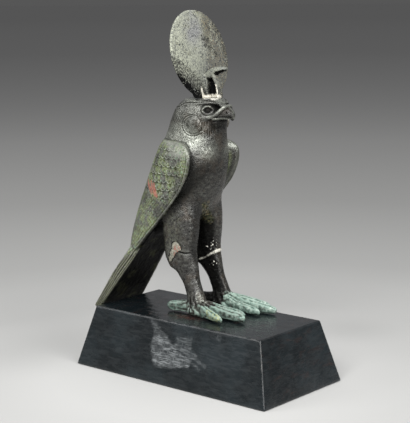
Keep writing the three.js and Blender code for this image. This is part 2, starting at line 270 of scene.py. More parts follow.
def spread(values, edges, times):
    average = averager(edges, len(values))
    for _ in range(times):
        values = 0.5 * values + 0.5 * average(values)
    return values


# How far each point lies below the skin's own average
def sunkBy(points, normals, edges, times):
    return ((relaxed(points, edges, times) - points) * normals).sum(1)


# Grain and pits, the same each run

def dice(cells, seed):
    n = cells[..., 0] * 374761393 + cells[..., 1] * 668265263 + cells[..., 2] * 2147483647 + seed * 1274126177
    n = (n ^ (n >> 13)) * 1274126177
    n = (n ^ (n >> 16)) & 0xFFFFFF
    return n / 0xFFFFFF


def grain(points, size, seed, octaves=1):
    total = np.zeros(len(points))
    strength = 1.0
    for octave in range(octaves):
        scaled = points / size * 2**octave + 17.3 * octave
        cell = np.floor(scaled).astype(np.int64)
        t = scaled - cell
        t = t * t * (3 - 2 * t)
        value = 0
        for corner in np.ndindex(2, 2, 2):
            near = np.prod(np.where(np.array(corner) == 1, t, 1 - t), axis=1)
            value = value + near * dice(cell + np.array(corner), seed + octave)
        total += strength * (value - 0.5) * 2
        strength *= 0.5
    return total / (2 - 0.5 ** (octaves - 1))


def pits(points, size, radius, seed):
    scaled = points / size
    cell = np.floor(scaled).astype(np.int64)
    nearest = np.full(len(points), 9.0)
    for step in np.ndindex(3, 3, 3):
        here = cell + np.array(step) - 1
        centre = here + np.stack([dice(here, seed + k) for k in range(3)], 1)
        reach = 0.5 + dice(here, seed + 7)
        nearest = np.minimum(nearest, np.linalg.norm(scaled - centre, axis=1) * size / reach)
    return fall(0.3 * radius, radius, nearest)


# Trunk, neck and head
# Height, front, back, half width, power, narrowing towards the front
trunk = [
    [30, 34, 43.0, 7.5, 2.0, 0], [34, 27, 42.4, 9.4, 2.1, 0], [39, 16, 41.0, 11.4, 2.2, 0],
    [44, 5, 39.5, 13, 2.2, 0], [49, -0.2, 36, 14.4, 2.3, 0], [55, -2.7, 33, 15.6, 2.4, 0],
    [61, -4.2, 31, 16.4, 2.4, 0], [67, -5.0, 28.5, 16.7, 2.4, 0], [72, -5.5, 26, 16.2, 2.4, 0],
    [76, -5.9, 24.2, 14.9, 2.3, 0], [80, -6.2, 22.4, 13.2, 2.3, 0.03], [84, -6.5, 20.6, 12.5, 2.2, 0.08],
    [88, -7.3, 18.7, 12.2, 2.2, 0.16], [91.5, -7.9, 17.0, 11.8, 2.2, 0.22],
    [94.5, -8.0, 15.1, 11.1, 2.3, 0.27], [97, -7.2, 12.9, 10.1, 2.4, 0.22],
    [98.6, -6.0, 11.3, 9.0, 2.4, 0.16], [99.3, -5.0, 10.0, 7.8, 2.4, 0.12],
]

head = {
    "beak": [[0, -4, 93.1, 6.2, 4.2], [0, -8, 92.9, 4.7, 3.5], [0, -10.4, 92.5, 3.2, 2.8],
             [0, -11.9, 91.7, 2.0, 2.0], [0, -12.6, 90.5, 1.1, 1.1], [0, -12.4, 89.2, 0.35, 0.35]],
    "brow": [[9.2, 4, 96.9, 0.5, 0.6], [8.3, -1, 97.6, 0.9, 0.8], [5.6, -5.6, 97.2, 0.9, 0.8],
             [2.8, -9.2, 96.0, 0.5, 0.5]],
    "cere": [[0.2, -9.6, 96.1, 0.6, 0.6], [2.6, -9.6, 95.6, 0.9, 0.9], [3.9, -8.7, 94.4, 1.0, 1.0],
             [5.0, -7.4, 92.9, 1.0, 1.0], [6.1, -5.7, 91.5, 0.9, 0.9], [7.8, -3.9, 91.0, 0.7, 0.7],
             [9.1, -1.9, 91.4, 0.4, 0.4]],
    "lore": [(6.8, -5.6, 95.6), (5.6, -7.1, 95.7), (4.5, -8.3, 96.0), (3.4, -9.2, 96.7)],
    "culmen": [(0, -9.8, 96.2), (0, -11.6, 94.8), (0, -12.9, 92.8), (0, -13.2, 90.6)],
    "crownLine": [(0, 17.0, 94.2), (6, 15.6, 94.4), (9.6, 12.2, 94.9), (10.8, 9.2, 95.8), (10.2, 7.0, 97.2),
                  (10.0, 5, 97.6), (9.6, 2.6, 97.7), (9.2, -0.2, 97.9), (8.4, -2.6, 98.1)],
    "nostril": (2.6, -11.0, 93.0),
    "eye": (7.6, -4.3, 94.3),
    "eyeReach": 2.2,
    "eyeHalfHeight": 1.75,
    "faceAngle": 38,  # degrees the side of the face turns in towards the beak
    "rim": 0.36,
    "rimSteps": 48,
    "cheek": (10.9, 1.4, 87.5),
    "cheekHalf": (1.1, 5.1, 4.6),
}
faceSlope = math.radians(head["faceAngle"])


def eyeRim(side):
    eyeX, eyeY, eyeZ = head["eye"]
    rim = []
    for i in range(head["rimSteps"] + 1):
        angle = i / (head["rimSteps"] + 0.2) * 2 * math.pi
        corner = 1 + 0.3 * max(0, math.cos(2 * angle)) ** 3
        forward = head["eyeReach"] * corner * math.cos(angle)
        rim.append([side * (eyeX - forward * math.sin(faceSlope)), eyeY - forward * math.cos(faceSlope),
                    eyeZ + head["eyeHalfHeight"] * math.sin(angle), head["rim"], head["rim"]])
    return rim


def headShells():
    shells = [limbRings(head["beak"], 10, 40)]
    eyeX, eyeY, eyeZ = head["eye"]
    cheekX, *cheekRest = head["cheek"]
    for side in (-1, 1):
        shells.append(limbRings(mirrored(head["brow"], side), 8, 20))
        shells.append(limbRings(eyeRim(side), 1, 14))
        shells.append(limbRings(mirrored(head["cere"], side), 8, 16))
        shells.append(ballRings((side * (eyeX - 1.1), eyeY + 0.8, eyeZ), (1.7, 1.7, 1.4)))
        shells.append(ballRings((side * cheekX, *cheekRest), head["cheekHalf"], 48, 30))
    return shells


# Closed wings, one cloak round the back
# Height, leading edge, mid back, half width, power
wing = {
    "rows": [
        [21.4, 41.0, 43.2, 11.0, 2.0], [24, 38.4, 42.6, 12.4, 2.1], [30, 31.6, 42.2, 14.2, 2.3],
        [36, 25.6, 41.0, 15.4, 2.4], [42, 19.4, 39.0, 16.4, 2.5], [48, 13.4, 36.7, 17.2, 2.6],
        [54, 7.8, 34.2, 17.9, 2.6], [60, 3.1, 31.8, 18.5, 2.6], [66, 0.2, 29.2, 18.8, 2.6],
        [71, -1.0, 26.8, 18.9, 2.6], [75, -0.8, 24.8, 18.6, 2.6], [77.5, 1.0, 23.8, 17.6, 2.5],
        [79.2, 4.4, 23.0, 15.8, 2.4], [80.2, 9.0, 22.5, 13.2, 2.3],
    ],
    "leftAhead": 1.6,  # the left wing is closed further forward than the right
    "edgeDepth": 3.2,
    "notchTop": 38,  # between the two wing tips, over the tail
    "notchHalfWidth": 8.4,
    "notchFoot": 18,
    "covertBottom": 50,
    "covertTop": 77.5,
    "covertPitch": 3.7,
    "covertWidth": 3.1,
    "covertLift": 0.30,
    "flightWidth": 1.75,
    "flightLift": 0.15,
    "columns": 120,
}
wingTable = throughRows(wing["rows"], 8)


def wingStation(height):
    return [np.interp(height, wingTable[:, 0], wingTable[:, k]) for k in range(1, 5)]


def wingAhead(height):
    return wing["leftAhead"] * np.clip((height - wing["rows"][0][0]) / 20, 0, 1)


def wingRings():
    angle = np.linspace(0, math.pi, wing["columns"] + 1)
    rings = []
    for height in wingTable[:, 0]:
        edge, back, halfWidth, power = (float(value) for value in wingStation(height))
        x = np.sign(np.cos(angle)) * np.abs(np.cos(angle)) ** (2 / power)
        y = np.abs(np.sin(angle)) ** (2 / power)
        ahead = wingAhead(height)
        outer = np.stack([x * halfWidth, edge + y * (back - edge) - ahead * np.maximum(0, x),
                          np.full(len(x), height)], 1)
        depth = min(wing["edgeDepth"], 0.2 * halfWidth)
        front = [(-1, 0.7, -0.8), (-1, 1.7, -0.7), (-1, 3.4, 0.6), (-1, 6.0, depth)]
        front += [(1, inset, forward) for side, inset, forward in reversed(front)]
        inside = [(side * (halfWidth - inset), edge + forward - ahead * max(0, side), height)
                  for side, inset, forward in front]
        rings.append(np.vstack([outer, inside]))
    return np.array(rings)


# Tail
tail = {
    "root": (0, 23.2, 41),
    "end": (-3.8, 50.2, 0),
    "halfWidths": (9.4, 16.2),
    "thickness": [(0, 5.0), (0.3, 5.2), (0.7, 4.9), (1.0, 3.3), (1.1, 3.0)],
    "crown": 0.8,
    "feathers": 6,
    "overhang": 1.075,  # the tip reaches past the plinth's rear edge and hangs a little below it
}
tailRoot, tailEnd = np.array(tail["root"], float), np.array(tail["end"], float)
tailLength = np.linalg.norm(tailEnd - tailRoot)
tailAlong = (tailEnd - tailRoot) / tailLength
tailOver = np.array([0, -tailAlong[2], tailAlong[1]])
tailOver /= np.linalg.norm(tailOver)


def tailThickness(t):
    return np.interp(t, *zip(*tail["thickness"]))


def tailRings():
    lows = np.linspace(-1, 1, 60)
    corner = 0.5 * ramp(0.97, 1.0, np.abs(lows))
    rings = []
    for t in np.linspace(-0.02, tail["overhang"], 64):
        middle = tailRoot + (tailEnd - tailRoot) * t
        half = np.interp(t, [0, 1], tail["halfWidths"])
        bow = tail["crown"] * (1 - 0.6 * t) * (1 - lows**2)
        under = middle + np.outer(lows * half, (1, 0, 0)) + np.outer(bow + corner, tailOver)
        rise = (bow - corner + tailThickness(t))[::-1]
        top = middle + np.outer(lows[::-1] * half, (1, 0, 0)) + np.outer(rise, tailOver)
        rings.append(np.vstack([under, top]))
    return np.array(rings)


# Legs and feet: x, y, z, half width, half depth
leg = [
    [6.6, 13.0, 64, 5.6, 10.5], [7.8, 11.8, 54, 6.3, 10.9], [8.6, 10.8, 46, 6.6, 10.3],
    [9.0, 10.3, 38, 6.4, 9.1], [9.2, 10.4, 31, 6.1, 8.2], [9.2, 10.2, 26.4, 5.5, 8.2],
    [9.2, 9.2, 23.2, 4.8, 7.9], [9.2, 8.3, 21.0, 4.3, 7.5], [9.3, 6.6, 19.5, 3.9, 6.0],
    [9.4, 5.2, 17, 3.6, 5.0], [9.5, 3.9, 14.5, 3.4, 4.4], [9.6, 2.6, 11.5, 3.3, 4.4],
    [9.8, 1.2, 8, 3.4, 4.5], [9.9, 0.2, 4, 3.8, 5.0], [9.9, 0.0, 0.6, 4.0, 5.2],
]
foot = {
    "rightReach": 0.9,  # the right foot is a little shorter
    "toes": [
        [[9.9, 0, 4.4, 2.2, 3.6], [9.9, -6, 3.5, 1.9, 3.3], [10.1, -12, 2.9, 1.7, 2.9],
         [10.2, -17, 2.5, 1.6, 2.5], [10.3, -22, 2.2, 1.6, 2.2], [10.4, -26, 2.0, 1.5, 2.0],
         [10.5, -28.4, 1.7, 1.2, 1.7], [10.5, -29.6, 1.3, 0.7, 1.0]],
        [[8.8, 0, 4.2, 2.0, 3.4], [7.4, -5, 3.4, 1.8, 3.0], [6.0, -10, 2.6, 1.6, 2.6],
         [5.1, -15, 2.3, 1.5, 2.3], [4.6, -19.4, 2.0, 1.5, 2.0], [4.3, -22.0, 1.8, 1.3, 1.8],
         [4.2, -23.6, 1.5, 1.0, 1.4], [4.1, -24.7, 1.1, 0.5, 0.8]],
        [[11.0, 0, 4.2, 2.0, 3.4], [12.7, -4.4, 3.5, 1.8, 3.1], [14.3, -8.8, 2.8, 1.6, 2.8],
         [15.6, -12.8, 2.4, 1.5, 2.4], [16.6, -16.4, 2.0, 1.4, 2.0], [17.2, -18.8, 1.7, 1.2, 1.7],
         [17.5, -20.2, 1.4, 0.9, 1.3], [17.7, -21.2, 1.1, 0.5, 0.8]],
        [[9.9, 3, 4.0, 2.4, 3.4], [10.0, 7, 3.2, 2.2, 2.9], [10.2, 11, 2.8, 1.9, 2.7],
         [10.4, 14.6, 2.5, 1.9, 2.5], [10.5, 17.4, 2.2, 1.5, 2.0], [10.5, 19.2, 1.9, 0.8, 1.2]],
    ],
    "web": [[9.9, 4, 2.0, 3.8, 3.2], [10, -2, 1.8, 4.6, 3.2], [10.2, -7, 1.0, 5.0, 2.4],
            [10.5, -11, 0.2, 4.8, 1.6], [10.8, -14, -0.4, 4.2, 1.0]],
}


def legShells(side):
    reach = foot["rightReach"] if side < 0 else 1

    def placed(rows):
        return [[side * x, y * reach, *rest] for x, y, *rest in rows]

    shells = [limbRings(mirrored(leg, side), 6, 48, 2.2, True)]
    shells += [limbRings(placed(line), 8, 28) for line in foot["toes"]]
    return [*shells, limbRings(placed(foot["web"]), 6, 28)]


# Carving, as heights over the cast surface in hundredths

def leadOfWing(points):
    edge, _, halfWidth, _ = wingStation(points[:, 2])
    lead = points[:, 1] + wingAhead(points[:, 2]) * np.maximum(0, points[:, 0] / halfWidth) - edge
    return lead, halfWidth - np.abs(points[:, 0])


def inNotch(points):
    half = wing["notchHalfWidth"] * (wing["notchTop"] - points[:, 2]) / (wing["notchTop"] - wing["notchFoot"])
    return ramp(-0.3, 0.3, half - np.abs(points[:, 0])) * (points[:, 1] > 30) * (half > 0)


def wingPlace(points):
    z = points[:, 2]
    edge, back, halfWidth, power = wingStation(z)
    x = np.abs(points[:, 0]) / halfWidth
    y = leadOfWing(points)[0] / (back - edge)
    inside = np.maximum(y, 0)
    reach = (x**power + inside**power) ** (1 / power)
    angle = np.arctan2(inside ** (power / 2), x ** (power / 2))
    onWing = ramp(0.945, 0.975, reach) * ramp(-0.12, -0.02, y)
    onWing *= ramp(20.6, 21.4, z) * fall(79.6, 80.6, z)
    return onWing * (1 - inNotch(points)), angle


def arcLengths(heights=48, angles=64):
    levels = np.linspace(wingTable[0, 0], wingTable[-1, 0], heights)
    turns = np.linspace(0, math.pi / 2, angles)
    table = []
    for level in levels:
        edge, back, halfWidth, power = (float(value) for value in wingStation(level))
        x = np.cos(turns) ** (2 / power) * halfWidth
        y = np.sin(turns) ** (2 / power) * (back - edge)
        table.append(np.concatenate([[0], np.cumsum(np.hypot(np.diff(x), np.diff(y)))]))
    return levels, turns, np.array(table)


# How far round from the leading edge a point lies
def lengthFromEdge(angle, height):
    levels, turns, table = arcLengths()
    row = np.clip((height - levels[0]) / (levels[1] - levels[0]), 0, len(levels) - 1.001)
    column = np.clip(angle / (turns[1] - turns[0]), 0, len(turns) - 1.001)
    i, j = row.astype(int), column.astype(int)
    a, b = row - i, column - j
    low = table[i, j] * (1 - b) + table[i, j + 1] * b
    high = table[i + 1, j] * (1 - b) + table[i + 1, j + 1] * b
    return low * (1 - a) + high * a


# Depth below the tip of the scale that lies on top, and the distance from its middle
def scales(along, height, bottom, width, pitch):
    count = np.floor((height - bottom) / pitch)
    depth = np.full(len(along), -1.0)
    aside = np.zeros(len(along))
    for row in (count, count - 1):
        offset = 0.5 * (row % 2)
        centre = (np.round(along / width - offset) + offset) * width
        away = np.clip(np.abs(along - centre), 0, width / 2)
        tip = bottom + row * pitch + width / 2 - np.sqrt(np.maximum(width**2 / 4 - away**2, 0))
        here = (depth < 0) & (height >= tip)
        depth = np.where(here, height - tip, depth)
        aside = np.where(here, along - centre, aside)
    return np.maximum(depth, 0), aside


def wingCarving(points):
    onWing, angle = wingPlace(points)
    height = points[:, 2]
    along = lengthFromEdge(angle, height)
    wobble = 0.24 * grain(points, 5.0, 3) + 0.16 * grain(points, 1.7, 23)
    tipDepth, aside = scales(along + wobble, height + wobble, wing["covertBottom"], wing["covertWidth"],
                             wing["covertPitch"])
    covert = wing["covertLift"] * np.exp(-tipDepth / 1.3) - 0.13 * bell(tipDepth - 0.75, 0.26)
    covert -= 0.05 * bell(aside, 0.2) * ramp(0.4, 1.0, tipDepth)
    band = (along + wobble) / wing["flightWidth"]
    part = band - np.floor(band)
    flight = wing["flightLift"] * (1 - part) ** 0.7
    flight -= 0.10 * bell(part - 0.5, 0.09)
    flight -= 0.09 * bell(part - 0.2, 0.07)
    aboveCoverts = height - wing["covertBottom"] - 0.55 * np.minimum(along, 9)
    upper = ramp(-0.3, 0.3, aboveCoverts)
    upper *= 1 - 0.75 * ramp(wing["covertTop"] - 1.5, wing["covertTop"] + 1, height)
    lower = fall(-0.3, 0.3, aboveCoverts)
    inner = ramp(0.3, 0.9, along) * (0.35 + 0.65 * ramp(-0.45, 0.3, grain(points, 4.5, 19, 2)))
    rim = 0.10 * bell(along - 0.2, 0.3) - 0.12 * bell(along - 0.8, 0.25)
    carving = (covert * upper + flight * lower) * inner + rim * fall(74, 78, height)
    return carving * onWing, onWing


# Both sides of the head laid on its left one
def foldedOver(points):
    return np.stack([np.abs(points[:, 0]), points[:, 1], points[:, 2]], 1)


def fromCere(points):
    return fromPath(foldedOver(points), [row[:3] for row in head["cere"]])


def headCarving(points):
    x, y, z = points.T
    side = np.abs(x)
    folded = foldedOver(points)

    cheekY, cheekZ = head["cheek"][1:]
    ring = np.hypot((y - cheekY) / head["cheekHalf"][1], (z - cheekZ) / head["cheekHalf"][2])
    ring += 0.02 * grain(points, 2.5, 9)
    outside = ramp(8.0, 9.0, side)
    rear = ramp(-0.9, -0.1, (y - cheekY) / 4.7 - 0.4 * (z - cheekZ) / 4.3)
    carving = -0.12 * bell(ring - 0.84, 0.05) * outside * (0.35 + 0.65 * rear)
    carving -= 0.18 * bell(ring - 1.04, 0.055) * outside * (0.1 + 0.9 * rear)
    carving += 0.12 * bell(ring - 0.94, 0.05) * outside * rear
    carving += 0.05 * grain(points, 0.9, 13, 2) * fall(0.75, 0.85, ring) * outside

    around = np.arctan2(-(y - 6), side) * 12
    moustache = ramp(-7.4, -6.4, y) * fall(-1.8, -0.8, y) * ramp(81.2, 82.6, z)
    moustache *= fall(88.8, 89.8, z) * ramp(3.5, 4.5, side)
    hatch = 0.5 + 0.5 * np.cos(2 * math.pi * (around + 0.3 * grain(points, 2, 12)) / 1.1)
    carving -= 0.15 * moustache * hatch**2 * ramp(-0.5, 0.3, grain(points, 1.8, 14))
    nape = ramp(79.5, 82, z) * (1 - moustache) * ramp(1.08, 1.2, ring) * ramp(-3.5, -1.5, y)
    nape *= fall(94.5, 95.6, z)
    strokes = np.cos(2 * math.pi * (around - 0.55 * (z - 80) + 0.5 * grain(points, 2.2, 7)) / 1.15)
    carving += nape * 0.05 * strokes * ramp(-0.5, 0.2, grain(points * (1, 1, 0.6), 1.5, 8))

    besideCere = ramp(0.8, 1.3, fromCere(points))
    fromEye = folded - head["eye"]
    level = (-fromEye[:, 0] * math.sin(faceSlope) - fromEye[:, 1] * math.cos(faceSlope)) / head["eyeReach"]
    eyeRing = np.hypot(level, fromEye[:, 2] / head["eyeHalfHeight"])
    lore = fall(1.2, 2.4, fromPath(folded, head["lore"])) * ramp(1.5, 2.5, side) * besideCere
    lore *= ramp(1.2, 1.45, eyeRing)
    carving -= 0.75 * lore
    nostril = bell(np.linalg.norm(folded - head["nostril"], axis=1), 0.5)
    carving -= 0.4 * nostril
    ahead = fall(-6.2, -5.2, y) * ramp(-12.9, -12.2, y)
    mouth = bell(z - 91.0, 0.26) * ahead
    jaw = bell(z - 89.2, 0.35) * fall(-6.2, -5.4, y) * ramp(-11.5, -10.5, y)
    carving -= 0.5 * mouth + 0.3 * jaw
    carving += 0.15 * bell(z - 90.2, 0.4) * ahead
    close = fall(3.4, 4.0, np.linalg.norm(fromEye, axis=1)) * ramp(3, 4, side)
    carving -= 0.2 * bell(eyeRing - 1.42, 0.14) * close
    crownLine = fromPath(folded, head["crownLine"])
    carving -= 0.25 * bell(crownLine, 0.32)
    carving += 0.14 * bell(crownLine - 0.75, 0.35)
    corner = ramp(1.15, 1.4, eyeRing) * ramp(0.4, 0.9, level) * fall(2.6, 3.0, level)
    corner *= ramp(-1.6, -0.8, fromEye[:, 2]) * fall(2.0, 2.8, fromEye[:, 2]) * ramp(2, 3, side)
    corner *= besideCere * (z > 92)
    carving -= 0.25 * corner

    # The pupil is dark. The lore, mouth, jaw, nostril and corner of the eye, a band round the eye socket and
    # the lower rim get painted shade; the upper rim gets a painted highlight.
    pupil = fall(0.72, 0.92, eyeRing) * close
    socket = bell(eyeRing - 1.55, 0.28) * close * ramp(-1.3, 0.3, level + 0.5 * fromEye[:, 2])
    onRim = bell(eyeRing - 1.08, 0.13) * close
    upperRear = ramp(-0.4, 0.8, fromEye[:, 2] / 1.75 - level)
    rimHighlight = onRim * (0.1 + 0.9 * upperRear)
    shadedRim = 0.55 * onRim * (1 - upperRear)
    darkMarksAndShade = np.maximum.reduce([lore, mouth, 0.8 * jaw, 0.9 * pupil, 0.5 * nostril, 0.85 * socket,
                              0.95 * corner, shadedRim])
    return carving, darkMarksAndShade * (1 - 0.9 * rimHighlight), moustache, rimHighlight


def tailPlace(points):
    away = points - tailRoot
    t = away @ tailAlong / tailLength
    half = np.interp(t, [0, 1], tail["halfWidths"])
    across = (points[:, 0] - (tailRoot[0] + (tailEnd[0] - tailRoot[0]) * t)) / half
    rise = away @ tailOver
    onTail = ramp(-0.8, -0.3, rise) * fall(6.4, 7.0, rise) * fall(1.02, 1.08, np.abs(across))
    return onTail * ramp(0.3, 0.5, t) * (points[:, 1] > 22), t, across, rise


def tailCarving(points):
    onTail, t, across, rise = tailPlace(points)
    cell = (across + 1) / 2 * tail["feathers"]
    part = cell - np.floor(cell)
    top = ramp(1.8, 2.6, rise)
    carving = top * (0.30 * (1 - part) ** 0.6 - 0.10 * bell(part - 0.5, 0.06) - 0.1)
    carving -= 0.05 * (1 - top) * bell(np.minimum(part, 1 - part), 0.05)
    layer = rise / tailThickness(t) * 4.5 + 0.25 * grain(points, 6, 45)
    carving += 0.34 * ramp(0.94, 0.99, np.abs(across)) * (np.abs((layer - np.floor(layer)) - 0.5) * 2 - 0.5)
    return carving * onTail, onTail


def legPlace(points):
    x, y, z = points.T
    centre = np.interp(z, [0, 4, 8, 14.5, 21, 31, 46, 60], [0, 0.2, 1.2, 3.9, 8.3, 10.4, 11.2, 14])
    return fall(46, 52, z) * fall(10.5, 12, np.abs(y - centre)) * fall(17, 19, np.abs(x))


def toeCarving(points):
    onToes = fall(6.5, 10.0, points[:, 2]) * (points[:, 1] < 26)
    near = np.flatnonzero(onToes > 0)
    x, y, z = points[near].T
    flat = np.stack([np.abs(x), y / np.where(x < 0, foot["rightReach"], 1), np.zeros(len(near))], 1)
    away = np.sort([fromPath(flat, [(row[0], row[1], 0) for row in line]) for line in foot["toes"]], axis=0)
    fromTips = np.min([np.linalg.norm(flat - (*line[-1][:2], 0), axis=1) for line in foot["toes"]], axis=0)
    wander = 0.22 * grain(points[near], 1.8, 71, 2)
    ridges = 0.24 * np.cos(2 * math.pi * (away[0] + wander) / 1.25) * ramp(0.2, 0.6, away[0])
    ridges *= (0.25 + 0.75 * ramp(2.0, 5.0, fromTips)) * (1 - 0.8 * ramp(4.8, 7.2, z))
    between = bell(away[1] - away[0], 0.55) * ramp(0.8, 1.2, away[0]) * (1 - 0.6 * ramp(5.0, 7.5, z))
    carving, gaps = np.zeros((2, len(points)))
    carving[near] = ridges - 0.6 * between + 0.14 * grain(points[near] * (1, 0.5, 1), 1.6, 73, 2)
    gaps[near] = between
    turn = np.arctan2(points[:, 1] - 1.0, np.abs(points[:, 0]) - 9.9)
    tendons = 0.035 * np.cos(9 * turn + 2.5 * grain(points, 4, 75)) * bell(points[:, 2] - 7.0, 3.0)
    # The second value marks the gaps between the toes, where shade is painted
    return carving * onToes + tendons * (points[:, 1] < 26), gaps * onToes


repairs = {
    "hock": [(-15.0, 13.2, 24.4), (-15.0, 11.6, 27.0), (-15.1, 10.0, 29.6), (-15.1, 8.8, 31.8)],
    "hockSide": [(-14.9, 10.4, 29.2), (-14.7, 7.4, 30.6), (-15.0, 8.4, 33.0), (-15.1, 10.4, 31.8)],
    "hockRadius": 1.45,
    "crack": [(-14.6, 7.0, 29.3), (-13.6, 4.6, 28.7), (-11.8, 2.4, 28.8)],
    "farLeg": [(4.2, 12.5, 21.6), (4.4, 9.9, 22.4), (4.6, 6.9, 23.7), (5.5, 4.0, 25.6), (7.4, 2.3, 26.6),
               (10.2, 1.9, 26.8), (13.5, 3.2, 26.6)],
    "farRadius": 0.62,
    "crumbs": [(4.7, 5.1, 28.7), (5.7, 3.5, 31.6), (7.0, 2.5, 31.9), (6.0, 3.4, 29.8), (5.6, 4.1, 22.0),
               (6.2, 2.8, 20.1), (6.6, 2.6, 30.4), (5.2, 4.4, 27.2)],
    "ochre": [(-4.5, 0.5, 50.5), (-1.5, 2.4, 47.2), (1.8, 4.0, 44.9), (4.2, 4.1, 42.2)],
    "pitted": [(-12.2, 1.5, 51), (-12.1, 2.6, 42), (-11.6, 2.7, 29)],
}

# what is left of an inked mark on the right wing
inkStrokes = [
    [(-13.4, 26.4, 60.9), (-15.5, 23.8, 58.1), (-16.9, 21.5, 55.7)],
    [(-15.7, 22.9, 61.0), (-16.5, 21.1, 58.0), (-17.5, 19.3, 55.0)],
    [(-16.9, 20.5, 59.9), (-17.2, 19.2, 57.3), (-17.3, 18.1, 54.6)],
]

# places of painted light and one yellow patch: middle and reach of each spot, and the lines along two toes
paleAndLit = {
    "shoulderHighlight": ((-17.4, 2.2, 76.3), (3.4, 3.6, 2.6)),
    "nearChestHighlight": ((-6.8, -4.3, 75.6), (4.2, 4, 3.4)),
    "farChestHighlight": ((6.8, -4.3, 75.6), (4.2, 4, 3.4)),
    "foreheadLight": ((0.8, -6.3, 98.2), (4.6, 3.0, 2.0)),
    "ankle": ((-11.6, -3.6, 7.6), (2.4, 2.2, 3.6)),
    "toeRidgeHighlight": [(-11.9, -4.0, 6.2), (-13.5, -7.9, 5.4), (-14.9, -11.5, 4.6), (-16.5, -16.4, 3.3)],
    "yellowToe": [(-16.8, -11.3, 4.1), (-17.9, -16.5, 3.0)],
}


# The falcon, one casting
falcon = {
    "voxel": 0.42 * mm,
    "triangles": 196000,
    "softening": 5,
    "pitDepth": 0.07,
}


def makeFalcon():
    shells = [bodyRings(trunk), wingRings(), tailRings(), *headShells(), *legShells(-1), *legShells(1)]
    piece = addPiece("falconBird", shellMesh("falconBird", shells, toRow))
    fuse(piece, falcon["voxel"])
    print("falcon fused:", len(piece.data.vertices), "points")
    return piece


def repairPlaces(own):
    thicker = 0.85 + 0.5 * ramp(4.6, 8, own[:, 0])
    far = (fromPath(own, repairs["farLeg"]) + 0.2 * grain(own, 1.2, 31)) / repairs["farRadius"] / thicker
    hock = np.minimum(fromPath(own, repairs["hock"]), fromPath(own, repairs["hockSide"]) + 0.3)
    hock = (hock + 0.6 * grain(own, 1.7, 37, 2) + 0.45 * grain(own, 0.8, 89)) / repairs["hockRadius"]
    nearby = np.min([np.linalg.norm(own - place, axis=1) for place in repairs["crumbs"]], axis=0)
    return far, hock, ramp(0.30, 0.48, grain(own, 0.75, 39, 2) - 0.22 * nearby + 0.2)


def settleOnPlinth(points, overPlinth):
    points[:, 2] = np.where(overPlinth, np.maximum(points[:, 2], soleHeight), points[:, 2])


# Thighs run smoothly into the belly, and the front of each cheek into the neck
def blendJoints(points, edges):
    own = inFigure(points)
    thigh = ramp(34, 50, own[:, 2]) * fall(60, 66, own[:, 2]) * fall(16, 22, own[:, 1])
    points = relaxedPart(points, edges, 220, 0.7, thigh * (1 - wingPlace(own)[0]))
    cheek = fall(-1.5, 1.5, own[:, 1]) * bell(own[:, 2] - 87, 4.5) * ramp(7, 8.5, np.abs(own[:, 0]))
    return relaxedPart(points, edges, 60, 0.6, cheek)


def roughen(carving, own, onWing, onTail):
    rough = 0.45 + 0.35 * legPlace(own) + 0.4 * onTail
    carving += 0.08 * rough * grain(own, 2.2, 11, 3)
    carving -= 0.12 * bell(fromPath(own, repairs["pitted"]), 1.3) * pits(own, 0.9, 0.4, 35)
    carving += 0.35 * fall(1.5, 3.0, fromPath(own, repairs["ochre"])) * grain(own, 1.3, 43, 2)
    carving -= falcon["pitDepth"] * rough * pits(own, 1.5, 0.45, 5) * ramp(-0.05, 0.45, grain(own, 9, 21))
    carving += 0.08 * grain(own, 0.8, 17, 2) * (0.5 + 0.5 * onWing)


def addRepairs(carving, own):
    far, hock, crumbs = repairPlaces(own)
    carving += 0.30 * fall(0.35, 0.9, far) + 0.22 * fall(0.6, 1.0, hock) + 0.35 * crumbs
    carving -= 0.3 * bell(hock - 1.15, 0.13) * ramp(8.5, 11, own[:, 1])
    carving -= 0.35 * bell(fromPath(own, repairs["crack"]), 0.3)


def carveFalcon(piece):
    mesh = piece.data
    edges = edgesOf(mesh)
    points = blendJoints(relaxed(pointsOf(mesh), edges, falcon["softening"]), edges)
    overPlinth = points[:, 1] < plinth["topLength"] / 2 + 1 * mm
    settleOnPlinth(points, overPlinth)
    setPoints(mesh, points)
    normals = normalsOf(mesh)
    own = inFigure(points)
    wings, onWing = wingCarving(own)
    feathers, onTail = tailCarving(own)
    notch = inNotch(own) * (own[:, 2] > 20) * ramp(0.2, 0.5, normals[:, 1])
    carving = wings + headCarving(own)[0] * (1 - onWing) + feathers * (1 - onWing)
    carving += toeCarving(own)[0] - 1.1 * notch + 0.2 * notch * np.cos(2 * math.pi * own[:, 0] / 2.4)
    roughen(carving, own, onWing, onTail)
    addRepairs(carving, own)
    carving *= 1 - fall(0.2, 0.8, own[:, 2]) * overPlinth
    points = points + normals * (carving * share)[:, None]
    settleOnPlinth(points, overPlinth)
    setPoints(mesh, points)
    thinOut(piece, falcon["triangles"])
    print("falcon carved:", len(piece.data.polygons), "faces")
